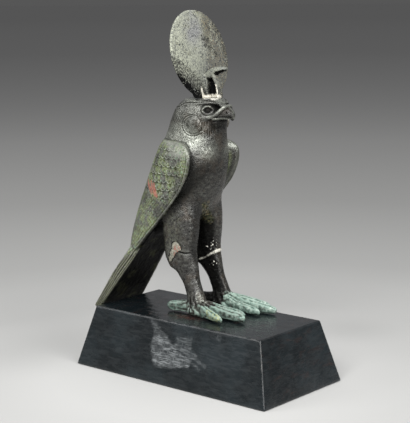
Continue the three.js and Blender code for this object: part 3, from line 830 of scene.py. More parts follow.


# Masks: where each colour of the falcon lies, and where light and shade are painted, from 0 to 1

def wingMasks(own, edges):
    x, z = own[:, 0], own[:, 2]
    onWing, angle = wingPlace(own)
    along = lengthFromEdge(angle, z)
    lead, inward = leadOfWing(own)
    face = fall(2.8, 4.0, np.abs(lead - 0.8)) * fall(5.5, 7, inward) * (1 - onWing)
    face *= ramp(22, 26, z) * fall(77, 80, z)
    turned = face * (x < 0) * fall(0.5, 1.1, inward)
    strip = (x > 0) * ramp(3.8, 4.6, inward) * fall(6.5, 9, inward) * (1 - onWing)
    strip *= bell(lead - 1, 4.5) * ramp(44, 52, z) * fall(72, 76, z)
    # Painted shade on the near wing's front face, where it meets the breast
    wingEdgeShade = face * (x < 0) * ramp(0.7, 1.4, inward) * fall(72, 77, z)
    # Painted shade on the body just in front of the near wing's lower edge
    shadeBesideWing = ramp(-7, -2.5, lead) * (1 - onWing) * (x < 0) * ramp(34, 42, z) * fall(66, 74, z)
    # Painted highlight along the top of each wing's leading edge, with a bright spot at the top of the near
    # wing
    edgeHighlight = 0.6 * ramp(71.5, 76, z) * fall(8, 13, along)
    return {
        "wing": spread(np.maximum(onWing * ramp(-0.1, 0.2, along), turned), edges, 2),
        "farFace": spread(face * (x > 0) * fall(2.4, 3.0, inward), edges, 2),
        # painted shade where the far wing's front face meets the body
        "farWingLineShade": spread(face * (x > 0) * bell(inward - 3.5, 0.6), edges, 1),
        "greenStrip": spread(strip, edges, 3),
        "wingEdgeShade": spread(wingEdgeShade, edges, 2),
        # painted highlight at the top front of the far wing
        "farWingHighlight": (x > 13) * bell(z - 76.2, 1.8) * bell(lead, 2.5),
        "shadeBesideWing": spread(shadeBesideWing, edges, 4),
        "shoulderHighlight": onWing * np.maximum(edgeHighlight, spot(own, *paleAndLit["shoulderHighlight"])),
    }


def bodyMasks(own, edges, onWing):
    x, y, z = own.T
    # Paler patina with a painted sheen on the sides of the neck
    neckSide = ramp(74, 80, z) * (1 - 0.72 * ramp(83, 90, z)) * ramp(5, 9, np.abs(x)) * (1 - onWing)
    neckSide *= 1 - 0.7 * ramp(12.5, 16.5, y) * ramp(82, 86, z)
    paleFrom = np.interp(z, [78, 81.5, 84, 88, 94], [-2.4, -3.4, -2.6, -2.8, -2.4])
    # Painted shade down the front of the near thigh
    thighFrontShade = ramp(-12.6, -11.0, x) * (x < -2) * fall(3, 7, y) * ramp(24, 28, z) * fall(50, 56, z)
    # Olive-grey patina on the outer side of each thigh, lightened as a painted sheen
    oliveThighSheen = ramp(10.5, 13.5, np.abs(x)) * ramp(4, 9, y)
    oliveThighSheen *= ramp(24, 30, z) * fall(44, 50, z) * (1 - onWing) * (y < 24)
    return {
        "paleNeckSheen": spread(neckSide * ramp(-2, 2, y - paleFrom), edges, 6),
        # painted highlight on both sides of the breast
        "chestHighlight": np.maximum(spot(own, *paleAndLit["nearChestHighlight"]), spot(own, *paleAndLit["farChestHighlight"])) * (1 - onWing),
        # painted glints along the pitted front of the near thigh
        "pitted": bell(fromPath(own, repairs["pitted"]), 1.4),
        "flank": ramp(38, 44, z) * fall(52, 58, z) * ramp(13, 18, y) * (1 - onWing),
        "thighFrontShade": thighFrontShade,
        "oliveThighSheen": oliveThighSheen,
    }


def headMasks(own):
    x, y, z = own.T
    darkMarksAndShade, moustache, rimHighlight = headCarving(own)[1:]
    culmen = fromPath(own, head["culmen"]) + 0.4 * grain(own, 0.9, 97, 2)
    lip = bell(z - 90.25, 0.4) * fall(-6.2, -5.2, y) * ramp(-12.4, -11.6, y)
    # Painted highlights along the edge of the cere, the culmen, the lip and the upper rim of the eye
    litRidge = fall(0.6, 1.2, fromCere(own)) * fall(-5.0, -3.4, y) * (0.6 + 0.4 * ramp(91.5, 93.5, z))
    # Painted shade at the front of the neck under the beak; the top of the beak is darker too
    throatShadeAndBeakTop = fall(-5.4, -3.6, y) * ramp(83.5, 86.5, z) * fall(90, 91, z)
    beakTop = fall(-10.4, -8.6, y) * ramp(89, 91, z) * fall(94.5, 96, z)
    tinged = moustache * ramp(81.5, 85.5, z + 1.2 * grain(own, 1.6, 93, 2))
    warmCheek = bell(np.hypot((y + 0.9) / 2.2, (z - 88.2) / 3.0)) * ramp(8.5, 9.5, np.abs(x))
    # Painted light on the top and front of the crown, where the disc would otherwise cast shade
    litCrownTop = 0.6 * ramp(97.9, 98.7, z) * ramp(0.5, 3, y)
    return {
        "cereHighlight": np.maximum.reduce([litRidge, 0.7 * fall(0.3, 0.9, culmen), 0.9 * lip, 0.7 * rimHighlight]),
        "foreheadLight": np.maximum(spot(own, *paleAndLit["foreheadLight"]), litCrownTop),
        "throatShadeAndBeakTop": np.maximum(throatShadeAndBeakTop, 0.6 * beakTop),
        # the eye's dark pupil, painted shade round the eye, mouth and nostril, and the dark crack on the near
        # leg
        "darkMarksAndShade": np.maximum(darkMarksAndShade, fall(0.2, 0.7, fromPath(own, repairs["crack"]))),
        "warmNeck": np.maximum(tinged, 0.8 * warmCheek),
    }


def tailMasks(own, edges, normals, onWing):
    y, z = own[:, 1], own[:, 2]
    onTail, _, across, rise = tailPlace(own)
    # Pale top and side edges of the tail; on the edges the paleness is a painted sheen
    upper = np.maximum(ramp(0.90, 0.97, np.abs(across)), ramp(2.6, 3.4, rise))
    # Painted shade: the tail and the surfaces facing down and forward near its root are coloured black with
    # olive patches
    shadeBeneath = ramp(0.4, 0.65, -normals @ (0, 0.83, 0.55)) * ramp(14, 17.5, y) * fall(45, 49, z)
    return {
        "tail": spread(np.maximum(onTail, shadeBeneath * (z > 12)) * (1 - onWing), edges, 3),
        "tailPaleAndSheen": spread(onTail * (1 - onWing) * upper, edges, 2),
    }


def footMasks(own, normals):
    x, y, z = own.T
    nearSide = (x < 0) * fall(9, 12, z)
    # Painted shade on the inner side of the far leg and on the far hind toe, where the body and near leg
    # would shade them
    inner = (x > 1.5) * fall(-0.55, -0.05, normals[:, 0] - 0.15 * normals[:, 1]) * fall(40, 48, z)
    farHeelShade = (x > 0) * ramp(-4.8, -0.8, y) * fall(11, 13, x) * fall(6, 10, z) * (y < 24)
    instep = bell(np.hypot((np.abs(x) - 10.5) / 3.8, (y + 1.5) / 8)) * (x < 0)
    bluish = fall(5.5, 9.5, z + 5.5 * instep + 1.2 * grain(own, 5, 47, 2))
    heel = fall(0.6, 1.3, np.hypot((x + 11) / 6, (y - 1) / 8) + 0.25 * grain(own, 2.5, 103, 2))
    # Painted highlights along the tops of the toes, weaker on the near foot, and along the near outer toe
    litToeTop = (y < 26) * ramp(3.0, 4.4, z + 0.09 * np.maximum(0, -y)) * fall(7, 9, z)
    litRidge = fromPath(own, paleAndLit["toeRidgeHighlight"]) + 0.4 * grain(own, 1.2, 101, 2)
    return {
        "farLegShade": np.maximum(inner * ramp(3, 9, z) * (y < 24), 0.85 * farHeelShade),
        "foot": bluish * (y < 30) * (1 - 0.95 * farHeelShade),
        # painted shade between the toes
        "toeGapShade": toeCarving(own)[1],
        "nearFoot": nearSide * (y < 30),
        "heel": heel * nearSide,
        # painted highlight on the front of the near ankle
        "ankleHighlight": spot(own, *paleAndLit["ankle"]),
        # painted shade on the lower sides of the toes
        "toeUnderShade": fall(0.6, 3.2, z + 0.8 * grain(own, 1.5, 99, 2)),
        "litToeTop": litToeTop * np.where(x < 0, 0.45, 1),
        "toeRidgeHighlight": fall(0.3, 1.0, litRidge),
        "yellow": fall(1.2, 3.6, fromPath(own, paleAndLit["yellowToe"])),
    }


def repairMasks(own):
    x, y, z = own.T
    far, hock, crumbs = repairPlaces(own)
    seat = np.hypot((x + 1.6) / 4.4, (y + 1.6) / 4.2) + 0.4 * grain(own, 1.5, 33, 2)
    crownFiller = fall(0.8, 1.0, seat) * ramp(98.2, 98.8, z)
    # Black on the broken edge round the hock patch; below the far-leg filler the black is painted shade
    bite = 0.9 * bell(hock - 1.15, 0.16) * ramp(8.5, 11, y) * (z < 29)
    strokes = np.minimum.reduce([fromPath(own, stroke) for stroke in inkStrokes])
    return {
        "redInk": fall(0.5, 1.05, strokes + 0.3 * grain(own, 1.1, 91, 2)),
        "whiteFiller": np.maximum.reduce([fall(0.7, 1.0, far), crownFiller, crumbs]),
        "beigeFiller": fall(0.85, 1.0, hock),
        "chipAndShade": np.maximum(bite, bell(far - 1.5, 0.5) * (z < 25)),
        "ochre": fall(1.2, 3.2, fromPath(own, repairs["ochre"]) + 1.2 * grain(own, 2.5, 41, 2)),
        "reddened": fall(9.4, 10.6, y) * fall(31.5, 33, z),
    }


def markFalcon(piece):
    mesh = piece.data
    points, normals, edges = pointsOf(mesh), normalsOf(mesh), edgesOf(mesh)
    own = inFigure(points)
    onWing = wingPlace(own)[0]
    sunk = sunkBy(points, normals, edges, 8)
    hollow = (sunk - spread(sunk, edges, 30)) / (0.05 * mm)
    hollow += 0.6 * np.maximum(0, sunk - 0.06 * mm) / (0.05 * mm)
    keepMasks(mesh, {"hollow": 0.5 + 0.25 * hollow})
    keepMasks(mesh, wingMasks(own, edges))
    keepMasks(mesh, bodyMasks(own, edges, onWing))
    keepMasks(mesh, headMasks(own))
    keepMasks(mesh, tailMasks(own, edges, normals, onWing))
    keepMasks(mesh, footMasks(own, normals))
    keepMasks(mesh, repairMasks(own))
    print("falcon marked:", len(mesh.attributes), "attributes")


# Materials

# Short ways to add nodes. An amount is a number, a socket, the name of a mask or a cloud,
# (name, factor), or (name, from, to, least, most) for a smooth step between two of its values.
class Paint:
    def __init__(self, tree, colours=None, clouds=None):
        self.tree = tree
        self.colours = colours
        self.values = {name: self.cloud(*settings) for name, settings in (clouds or {}).items()}

    def node(self, kind, **settings):
        node = self.tree.nodes.new("ShaderNode" + kind)
        for name, value in settings.items():
            setattr(node, name, value)
        return node

    def join(self, source, target):
        if isinstance(source, (int, float)):
            target.default_value = source
        elif isinstance(source, tuple):
            target.default_value = (*source, 1)[:len(target.default_value)]
        else:
            self.tree.links.new(source, target)

    def place(self):
        return self.node("TexCoord").outputs["Object"]

    def cloud(self, size, detail=4.0, roughness=0.55, distortion=0.0, stretch=None):
        place = self.place()
        if stretch:
            mapping = self.node("Mapping")
            mapping.inputs["Scale"].default_value = stretch
            self.join(place, mapping.inputs["Vector"])
            place = mapping.outputs["Vector"]
        noise = self.node("TexNoise")
        settings = {"Vector": place, "Scale": 1 / (size * mm), "Detail": detail, "Roughness": roughness,
                    "Distortion": distortion}
        for name, value in settings.items():
            self.join(value, noise.inputs[name])
        return noise.outputs["Fac"]

    def amount(self, entry):
        if isinstance(entry, tuple):
            name, *numbers = entry
            return self.band(name, *numbers) if len(numbers) > 1 else self.times(name, *numbers)
        if isinstance(entry, str) and entry not in self.values:
            self.values[entry] = self.node("Attribute", attribute_name=entry).outputs["Fac"]
        return self.values[entry] if isinstance(entry, str) else entry

    def band(self, value, low, high, least=0.0, most=1.0, way="SMOOTHSTEP"):
        reach = self.node("MapRange", interpolation_type=way)
        self.join(self.amount(value), reach.inputs["Value"])
        for name, number in zip(("From Min", "From Max", "To Min", "To Max"), (low, high, least, most)):
            reach.inputs[name].default_value = number
        return reach.outputs["Result"]

    def reckon(self, operation, first, *others):
        result = self.amount(first)
        for other in others:
            node = self.node("Math", operation=operation)
            self.join(result, node.inputs[0])
            self.join(self.amount(other), node.inputs[1])
            result = node.outputs[0]
        return result

    def times(self, *amounts):
        return self.reckon("MULTIPLY", *amounts)

    def plus(self, *amounts):
        return self.reckon("ADD", *amounts)

    def most(self, *amounts):
        return self.reckon("MAXIMUM", *amounts)

    def mix(self, amount, under, over, way="MIX"):
        node = self.node("Mix", data_type="RGBA", blend_type=way)
        self.join(self.amount(amount), node.inputs[0])
        for colour, k in ((under, 6), (over, 7)):
            self.join(self.colours[colour] if isinstance(colour, str) else colour, node.inputs[k])
        return node.outputs[2]

    # Each layer is a colour and the amounts whose product says how much of it covers the one below
    def layers(self, colour, rows):
        for over, *amounts in rows:
            colour = self.mix(self.times(*amounts), colour, over)
        return colour

    def relief(self, rows):
        normal = None
        for height, depth in rows:
            bump = self.node("Bump")
            bump.inputs["Strength"].default_value = 1.0
            bump.inputs["Distance"].default_value = depth * mm
            self.join(self.amount(height), bump.inputs["Height"])
            if normal:
                self.join(normal, bump.inputs["Normal"])
            normal = bump.outputs["Normal"]
        return normal


def newFinish(name, roughness, metallic, colours=None, clouds=None):
    finish = bpy.data.materials.new(name)
    finish.use_nodes = True
    inputs = finish.node_tree.nodes["Principled BSDF"].inputs
    inputs["Roughness"].default_value = roughness
    inputs["Metallic"].default_value = metallic
    return finish, Paint(finish.node_tree, colours, clouds), inputs


bronzeColours = {
    "body": (0.028, 0.026, 0.024),
    "bodyPale": (0.052, 0.049, 0.043),
    "bodyWarm": (0.058, 0.046, 0.034),
    "bodyDark": (0.006, 0.006, 0.005),
    "olive": (0.070, 0.075, 0.035),
    "oliveGrey": (0.115, 0.12, 0.085),
    "wingGrey": (0.105, 0.108, 0.088),
    "green": (0.170, 0.205, 0.085),
    "mint": (0.22, 0.36, 0.22),
    # pale colour of rubbed, raised places, also used for painted glints
    "paleAndLit": (0.25, 0.255, 0.23),
    # pale metal on rubbed places, also the colour of painted highlights
    "silverAndHighlight": (0.30, 0.315, 0.27),
    "verdigris": (0.085, 0.150, 0.118),
    "verdigrisPale": (0.25, 0.36, 0.30),
    "ankle": (0.075, 0.078, 0.065),
    "strip": (0.125, 0.15, 0.068),
    # pale verdigris for painted highlights on the toes
    "chalkHighlight": (0.46, 0.56, 0.48),
    "yellowGreen": (0.33, 0.37, 0.17),
    "ochre": (0.20, 0.16, 0.07),
    "ochrePale": (0.42, 0.37, 0.22),
    "tailPaleAndSheen": (0.165, 0.175, 0.105),
    "warmNeck": (0.060, 0.048, 0.034),
    "redInk": (0.36, 0.125, 0.085),
    "whiteFiller": (0.64, 0.62, 0.54),
    "beigeFiller": (0.34, 0.32, 0.25),
    "beigeDark": (0.17, 0.165, 0.125),
    "redFiller": (0.30, 0.075, 0.045),
    "black": (0.003, 0.003, 0.003),
}
# size in mm, detail, roughness, distortion, stretch
bronzeClouds = {
    "mottled": (12, 6, 0.6),
    "patches": (7, 6, 0.65, 0.4),
    "spots": (1.6, 4, 0.6),
    "fine": (1.1, 5, 0.65),
    "grit": (0.5, 3, 0.6),
    "dapple": (2.2, 5, 0.7, 0.2, (1, 1, 1.6)),
    "warmth": (9, 5, 0.6),
    "broad": (15, 3),
    "crusty": (2.4, 3),
    "lumps": (3.6, 3, 0.5, 0.3),
}


def bodyColour(paint):
    return paint.layers("body", [
        ("bodyPale", ("mottled", 0.40, 0.66)),
        ("bodyDark", ("fine", 0.50, 0.70, 0, 0.45)),
        ("wingGrey", ("grit", 0.56, 0.70, 0, 0.5)),
        ("bodyDark", ("dapple", 0.50, 0.60, 0, 0.85)),
        ("ankle", ("dapple", 0.48, 0.38, 0, 0.8)),
        ("bodyWarm", ("warmth", 0.50, 0.64, 0, 0.7)),
        # paler patina and painted sheen on the neck
        ("silverAndHighlight", "paleNeckSheen", ("fine", 0.68, 0.46, 0.35, 1), ("mottled", 0.35, 0.6, 0.65, 1)),
        # painted highlight on the breast
        ("silverAndHighlight", ("chestHighlight", 0.95), ("spots", 0.62, 0.42, 0.3, 1)),
        # painted light on the front of the crown
        ("silverAndHighlight", "foreheadLight", ("spots", 0.64, 0.44)),
        ("olive", ("flank", 0.8), ("spots", 0.45, 0.6)),
        # olive-grey patina and painted sheen on the thighs
        ("oliveGrey", ("oliveThighSheen", 0.6), ("spots", 0.42, 0.6)),
        # painted glints on the near thigh
        ("paleAndLit", ("pitted", 0.4), ("grit", 0.54, 0.62)),
        ("warmNeck", ("warmNeck", 0.85), ("spots", 0.36, 0.52)),
        ("paleAndLit", ("raised", 0.22)),
        ("bodyDark", ("deep", 0.6)),
        # painted shade beside the near wing
        ("bodyDark", ("shadeBesideWing", 0.7)),
        # painted shade down the front of the near thigh
        ("bodyDark", ("thighFrontShade", 0.7)),
        # painted highlight on the near ankle
        ("silverAndHighlight", ("ankleHighlight", 0.9), ("dapple", 0.54, 0.42)),
        # painted shade on the far leg
        ("black", ("farLegShade", 0.9)),
        # painted shade under the beak, and the beak's darker top
        ("black", ("throatShadeAndBeakTop", 0.85), ("fine", 0.75, 0.5)),
        # painted highlights on the cere, beak and eye rim
        ("silverAndHighlight", ("cereHighlight", 0.85), ("fine", 0.66, 0.44, 0.2, 1)),
    ])


def wingColour(paint):
    return paint.layers("wingGrey", [
        ("green", ("patches", 0.44, 0.56)),
        ("mint", ("spots", 0.57, 0.66, 0, 0.8)),
        ("bodyPale", ("fine", 0.50, 0.60, 0, 0.75)),
        ("paleAndLit", ("grit", 0.60, 0.70, 0, 0.6)),
        ("silverAndHighlight", ("hollow", 0.40, 0.18), ("patches", 0.36, 0.60, 0.15, 0.75)),
        ("bodyDark", ("deep", 0.6)),
    ])


def footColour(paint):
    return paint.layers("verdigris", [
        ("verdigrisPale", ("spots", 0.32, 0.72)),
        ("ankle", ("patches", 0.52, 0.64, 0, 0.75)),
        ("ankle", ("nearFoot", 0.75), ("spots", 0.42, 0.56)),
        ("bodyDark", ("dapple", 0.56, 0.66, 0, 0.3)),
        # painted shade under the toes
        ("bodyDark", ("toeUnderShade", 0.8), ("spots", 0.40, 0.56)),
        # painted highlights on the toes
        ("chalkHighlight", ("litToeTop", 0.9), ("dapple", 0.54, 0.40)),
        ("ankle", ("heel", 0.95), ("spots", 0.60, 0.50, 0.45, 1)),
        # painted highlight line on the near outer toe
        ("chalkHighlight", ("toeRidgeHighlight", 0.85)),
        ("verdigrisPale", ("raised", 0.6)),
        ("bodyDark", ("hollow", 0.66, 1.0, 0, 0.6)),
        # painted shade between the toes
        ("bodyDark", ("toeGapShade", 0.85)),
        ("yellowGreen", ("yellow", 0.8), ("spots", 0.45, 0.6)),
    ])


def bronzeFinish():
    finish, paint, inputs = newFinish("oldBronze", 0.45, 0.35, bronzeColours, bronzeClouds)
    values = paint.values
    values["raised"] = paint.band("hollow", 0.46, 0.20)
    values["deep"] = paint.band("hollow", 0.54, 0.85)
    values["green"] = paint.times("wing", ("broad", 0.34, 0.52, 0.5, 1))
    values["footEdge"] = paint.plus("foot", ("spots", 0.3, 0.7, 0.35, -0.35))
    values["tailUnderShade"] = paint.reckon("SUBTRACT", ("tail", 0.9), "tailPaleAndSheen")

    farFace = paint.mix(("spots", 0.42, 0.58), "ankle", "wingGrey")
    shadeUnderTail = paint.mix(("patches", 0.54, 0.66, 0, 0.5), "black", "olive")
    paleTail = paint.layers("tailPaleAndSheen", [
        ("bodyPale", ("fine", 0.45, 0.6)),
        ("paleAndLit", ("raised", 0.3)),
        ("bodyDark", ("deep", 0.8)),
    ])
    crust = paint.layers("olive", [
        ("ochre", ("crusty", 0.48, 0.60)),
        ("ochrePale", ("fine", 0.56, 0.64, 0, 0.8)),
    ])
    beige = paint.layers("beigeFiller", [
        ("beigeDark", ("grit", 0.44, 0.58)),
        ("redFiller", ("reddened", 0.75), ("spots", 0.51, 0.57)),
        ("ankle", ("fine", 0.46, 0.60, 0, 0.8)),
    ])
    white = paint.mix(("spots", 0.52, 0.64, 0, 0.75), "whiteFiller", "wingGrey")
    colour = paint.layers(bodyColour(paint), [
        (wingColour(paint), "green"),
        (farFace, ("farFace", 0.85)),
        # painted shade line on the far wing
        ("bodyDark", ("farWingLineShade", 0.8)),
        ("strip", ("greenStrip", 0.85), ("patches", 0.36, 0.52, 0.2, 1)),
        # painted highlight on the far wing
        ("silverAndHighlight", ("farWingHighlight", 0.7)),
        # painted highlight at the top of the wings
        ("silverAndHighlight", ("shoulderHighlight", 0.9), ("spots", 0.66, 0.46)),
        # painted shade on the near wing's front face
        ("bodyDark", ("wingEdgeShade", 0.85)),
        # painted shade under the tail
        (shadeUnderTail, ("tail", 0.97)),
        # paler top of the tail, with painted sheen on its edges
        (paleTail, ("tailPaleAndSheen", 0.95)),
        (footColour(paint), ("footEdge", 0.35, 0.75)),
        (crust, ("ochre", 0.9), ("fine", 0.60, 0.40)),
        # dark pupil and crack, painted shade on the face
        ("black", ("darkMarksAndShade", 0.92)),
        ("redInk", ("redInk", 0.9), ("fine", 0.72, 0.5)),
        (beige, "beigeFiller"),
        # broken edge, and painted shade under the filler
        ("black", "chipAndShade"),
        (white, "whiteFiller"),
    ])
    paint.join(colour, inputs["Base Color"])

    filler = paint.most("beigeFiller", "whiteFiller")
    dull = paint.most(("green", 0.55), ("footEdge", 0.4, 0.7, 0, 0.7), filler, "darkMarksAndShade")
    paint.join(paint.band(dull, 0, 0.8, 0.5, 0.0), inputs["Metallic"])
    roughness = paint.plus(("fine", 0.35, 0.7, 0.22, 0.40), (dull, 0.3), ("tailUnderShade", 0.3))
    paint.join(roughness, inputs["Roughness"])
    # Specular is turned down in deep hollows and wherever shade is painted
    hidden = paint.most(("deep", 0.8), "tailUnderShade", ("darkMarksAndShade", 1.0), ("wingEdgeShade", 0.6), ("shadeBesideWing", 0.6),
                        ("farLegShade", 0.8), ("throatShadeAndBeakTop", 0.7), ("chipAndShade", 1.0))
    paint.join(paint.band(hidden, 0, 1, 0.9, 0.0), inputs["Specular IOR Level"])
    bumps = paint.relief([("lumps", 0.7), ("dapple", 0.22), ("fine", 0.15), ("grit", 0.08)])
    paint.join(bumps, inputs["Normal"])
    return finish


# Sun disc with the stub of its uraeus
disc = {
    "diameter": 57.6 * mm,
    "rim": 2.0 * mm,
    "dome": 0.6 * mm,
    "lean": 13.5,  # degrees back
    "footWidth": 27 * mm,
    "footHeight": 6 * mm,
    "setback": 1.5 * mm,
    "sunk": 0.6 * mm,
    "gap": 0.3 * mm,
    "voxel": 0.36 * mm,
    "triangles": 190000,
    "middle": 118.8,  # height of its centre, in hundredths
    "bars": [
        [[0, 0.2, 98.6, 2.8, 1.2], [0, 1.1, 103.5, 2.6, 1.1], [0, 1.9, 107, 2.4, 1.1],
         [0, 2.6, 110, 2.2, 1.0]],
        [[1.2, -4.8, 98.6, 2.2, 0.6], [1.2, -4.4, 102.5, 2.2, 0.6], [1.1, -3.3, 106.5, 2.2, 0.8],
         [0.9, -2.2, 109.4, 2.2, 1.2], [0.8, -1.4, 111.0, 2.0, 1.2]],
        [[1.7, -2.2, 98.6, 0.45, 2.6], [1.7, -1.5, 104, 0.45, 2.4], [1.5, -0.5, 110, 0.45, 1.8]],
        [[0.5, 2.0, 108.4, 2.0, 2.0], [0.8, -0.6, 110.2, 2.3, 2.2], [1.0, -2.8, 111.4, 2.3, 1.9],
         [1.2, -5.2, 112.0, 2.1, 1.4], [1.2, -7.2, 112.4, 1.8, 1.0], [1.2, -8.4, 112.5, 1.2, 0.6]],
    ],
    "leftFiller": [(-4.6, 0.9, 104.4), (-4.9, 0.7, 102.6), (-4.2, 0.5, 101.2), (-3.6, 0.3, 99.8)],
    "frontFiller": [(-1.2, -4.1, 105.0), (-1.1, -4.6, 102.6), (-1.1, -4.9, 99.9)],
    "blotches": [(5.5, 6.2, 125.0, 2.6), (7.4, 5.4, 121.6, 1.9), (11.0, 4.7, 118.6, 1.6),
                 (9.5, 7.2, 130.4, 1.3), (4.6, 5.6, 122.8, 1.6)],
}


def discSeat():
    crown = figure["crown"] * share
    return (toPlace @ Matrix.Translation((0, disc["setback"], crown - disc["sunk"]))
            @ Matrix.Rotation(-math.radians(disc["lean"]), 4, "X")
            @ Matrix.Translation((0, 0, disc["diameter"] / 2)))


def discRings(count=240):
    half = disc["rim"] / 2
    profile = []
    for inset in np.concatenate([[0, 0.25, 0.6, 1.2], np.linspace(2, 28.6, 60)]) * mm:
        edge = half - 0.4 * mm * fall(0, 0.6 * mm, inset)
        profile.append((inset, edge + disc["dome"] * ramp(0.5 * mm, 9 * mm, inset)))
    angle = (np.arange(count) + 0.5) / count * 2 * math.pi - math.pi / 2
    rings = []
    for inset, y in [*reversed(profile), *((inset, -y) for inset, y in profile)]:
        radius = disc["diameter"] / 2 - inset
        x, z = radius * np.cos(angle), radius * np.sin(angle)
        atFoot = (z < -0.86 * radius) & (inset < disc["footHeight"])
        footHalf = max(disc["footWidth"] / 2 - inset, 0.1 * mm)
        wide = footHalf * np.sign(x) * np.minimum(1, np.abs(x) / (0.5 * radius))
        x, z = np.where(atFoot, wide, x), np.where(atFoot, -radius, z)
        rings.append(np.stack([x, np.full(count, y), z], 1))
    return np.array(rings)


def makeDisc():
    plate = shellMesh("discPlate", [discRings()], discSeat())
    bars = shellMesh("uraeusBars", [limbRings(rows, 12, 32) for rows in disc["bars"]], toRow)
    parts = [(pointsOf(mesh), [list(face.vertices) for face in mesh.polygons]) for mesh in (plate, bars)]
    piece = addPiece("sunDisc", newMesh("sunDisc", *joined(parts)))
    fuse(piece, disc["voxel"])
    mesh = piece.data
    points = relaxed(pointsOf(mesh), edgesOf(mesh), 4)
    floor = soleHeight + figure["crown"] * share + disc["gap"]
    points[:, 2] = np.maximum(points[:, 2], floor)
    setPoints(mesh, points)
    normals = normalsOf(mesh)
    high = ramp(0, 1.5 * mm, points[:, 2] - floor)
    swell = 0.16 * mm * grain(points, 9 * mm, 51, 2) + 0.10 * mm * grain(points, 1.8 * mm, 53, 3)
    pitted = pits(points, 2.0 * mm, 0.75 * mm, 57) * ramp(-0.3, 0.3, grain(points, 10 * mm, 59))
    pitted += 0.8 * pits(points, 1.1 * mm, 0.4 * mm, 63) * ramp(-0.3, 0.2, grain(points, 7 * mm, 65))
    setPoints(mesh, points + normals * (high * (swell - 0.16 * mm * pitted))[:, None])
    thinOut(piece, disc["triangles"])
    markDisc(piece.data)
    print("disc made:", len(piece.data.polygons), "faces")
    return piece


def uraeusMasks(own, normals):
    x, y, z = own.T
    hoodBack = -4.0 + 0.24 * (z - 99)
    # Painted shade: black in the gap between the hood and the disc, and a painted shadow under the ledge
    recessShade = ramp(hoodBack - 0.3, hoodBack + 0.2, y) * fall(-0.9, -0.3, y - 0.16 * (z - 98.6))
    recessShade *= fall(108.0, 109.2, z) * ramp(99.8, 100.6, z) * (np.abs(x) < 3.2) * (x < 1.7)
    shadowUnderLedge = fall(-3.2, -2.4, y) * ramp(106.5, 108.5, z) * (normals[:, 2] < -0.25)
    seam = fall(100.2, 101.2, z + 0.9 * grain(own, 1.4, 61)) * (x < 1.6) * (x > -4.9)
    beads = np.minimum(fromPath(own, disc["leftFiller"]), fromPath(own, disc["frontFiller"]))
    return {
        "recessShade": np.maximum(recessShade, shadowUnderLedge),
        "filler": np.maximum(seam, fall(0.3, 0.65, beads + 0.45 * grain(own, 0.9, 67, 2))),
    }


def plateMasks(own):
    radius = disc["diameter"] / 2 / share
    across = own[:, 0] / radius
    upright = (own[:, 2] - disc["middle"]) / (radius * math.cos(math.radians(disc["lean"])))
    wander = 0.16 * grain(own, 6, 69, 2)
    # Painted shade towards the lower left of the plate, black at its edge; the right edge and the blotches
    # add darker patina to the same shade mask
    lowSide = 0.9 * ramp(0.30, 0.85, -0.64 * across - 0.77 * upright + 0.6 * wander)
    rightEdge = 0.6 * ramp(0.55, 0.95, across + 0.25 * upright + wander)
    blotches = [0.95 * bell(np.linalg.norm(own - centre, axis=1) + 0.8 * grain(own, 1.6, 75, 2), size)
                for *centre, size in disc["blotches"]]
    return {
        "shade": np.maximum.reduce([lowSide, rightEdge, *blotches]),
        "lowEdgeShade": ramp(0.72, 0.92, -0.55 * across - 0.83 * upright + 0.35 * wander) * (across < -0.1),
        "warm": ramp(0.0, 0.35, across - 0.15 * upright + wander),
        "grey": fall(-0.55, 0.25, upright - 0.6 * across + wander),
        "lilac": bell(np.hypot(across + 0.05, upright - 0.5) + wander, 0.36),
        "olive": bell(np.hypot((across - 0.34) / 0.5, upright - 0.62) + wander, 0.3),
    }


def markDisc(mesh):
    points, normals = pointsOf(mesh), normalsOf(mesh)
    own = inFigure(points)
    hollow = sunkBy(points, normals, edgesOf(mesh), 12) / (0.15 * mm)
    keepMasks(mesh, {"hollow": 0.5 + 0.3 * hollow, **uraeusMasks(own, normals), **plateMasks(own)})


discColours = {
    "pale": (0.37, 0.385, 0.30),
    "lilac": (0.27, 0.27, 0.28),
    "ochre": (0.23, 0.22, 0.11),
    "grey": (0.145, 0.15, 0.13),
    "dark": (0.022, 0.022, 0.018),
    "slate": (0.085, 0.09, 0.095),
    "brown": (0.115, 0.105, 0.075),
    "rusty": (0.26, 0.21, 0.13),
    "filler": (0.66, 0.63, 0.54),
    "black": (0.004, 0.004, 0.004),
}
discClouds = {
    "broad": (13, 4, 0.55),
    "middle": (4, 6, 0.65),
    "fine": (1.2, 4, 0.65),
    "grit": (0.5, 3, 0.6),
    "rust": (1.8, 4, 0.6),
}
discCrazing = 1.5 * mm  # width of the cells between its fine dark lines


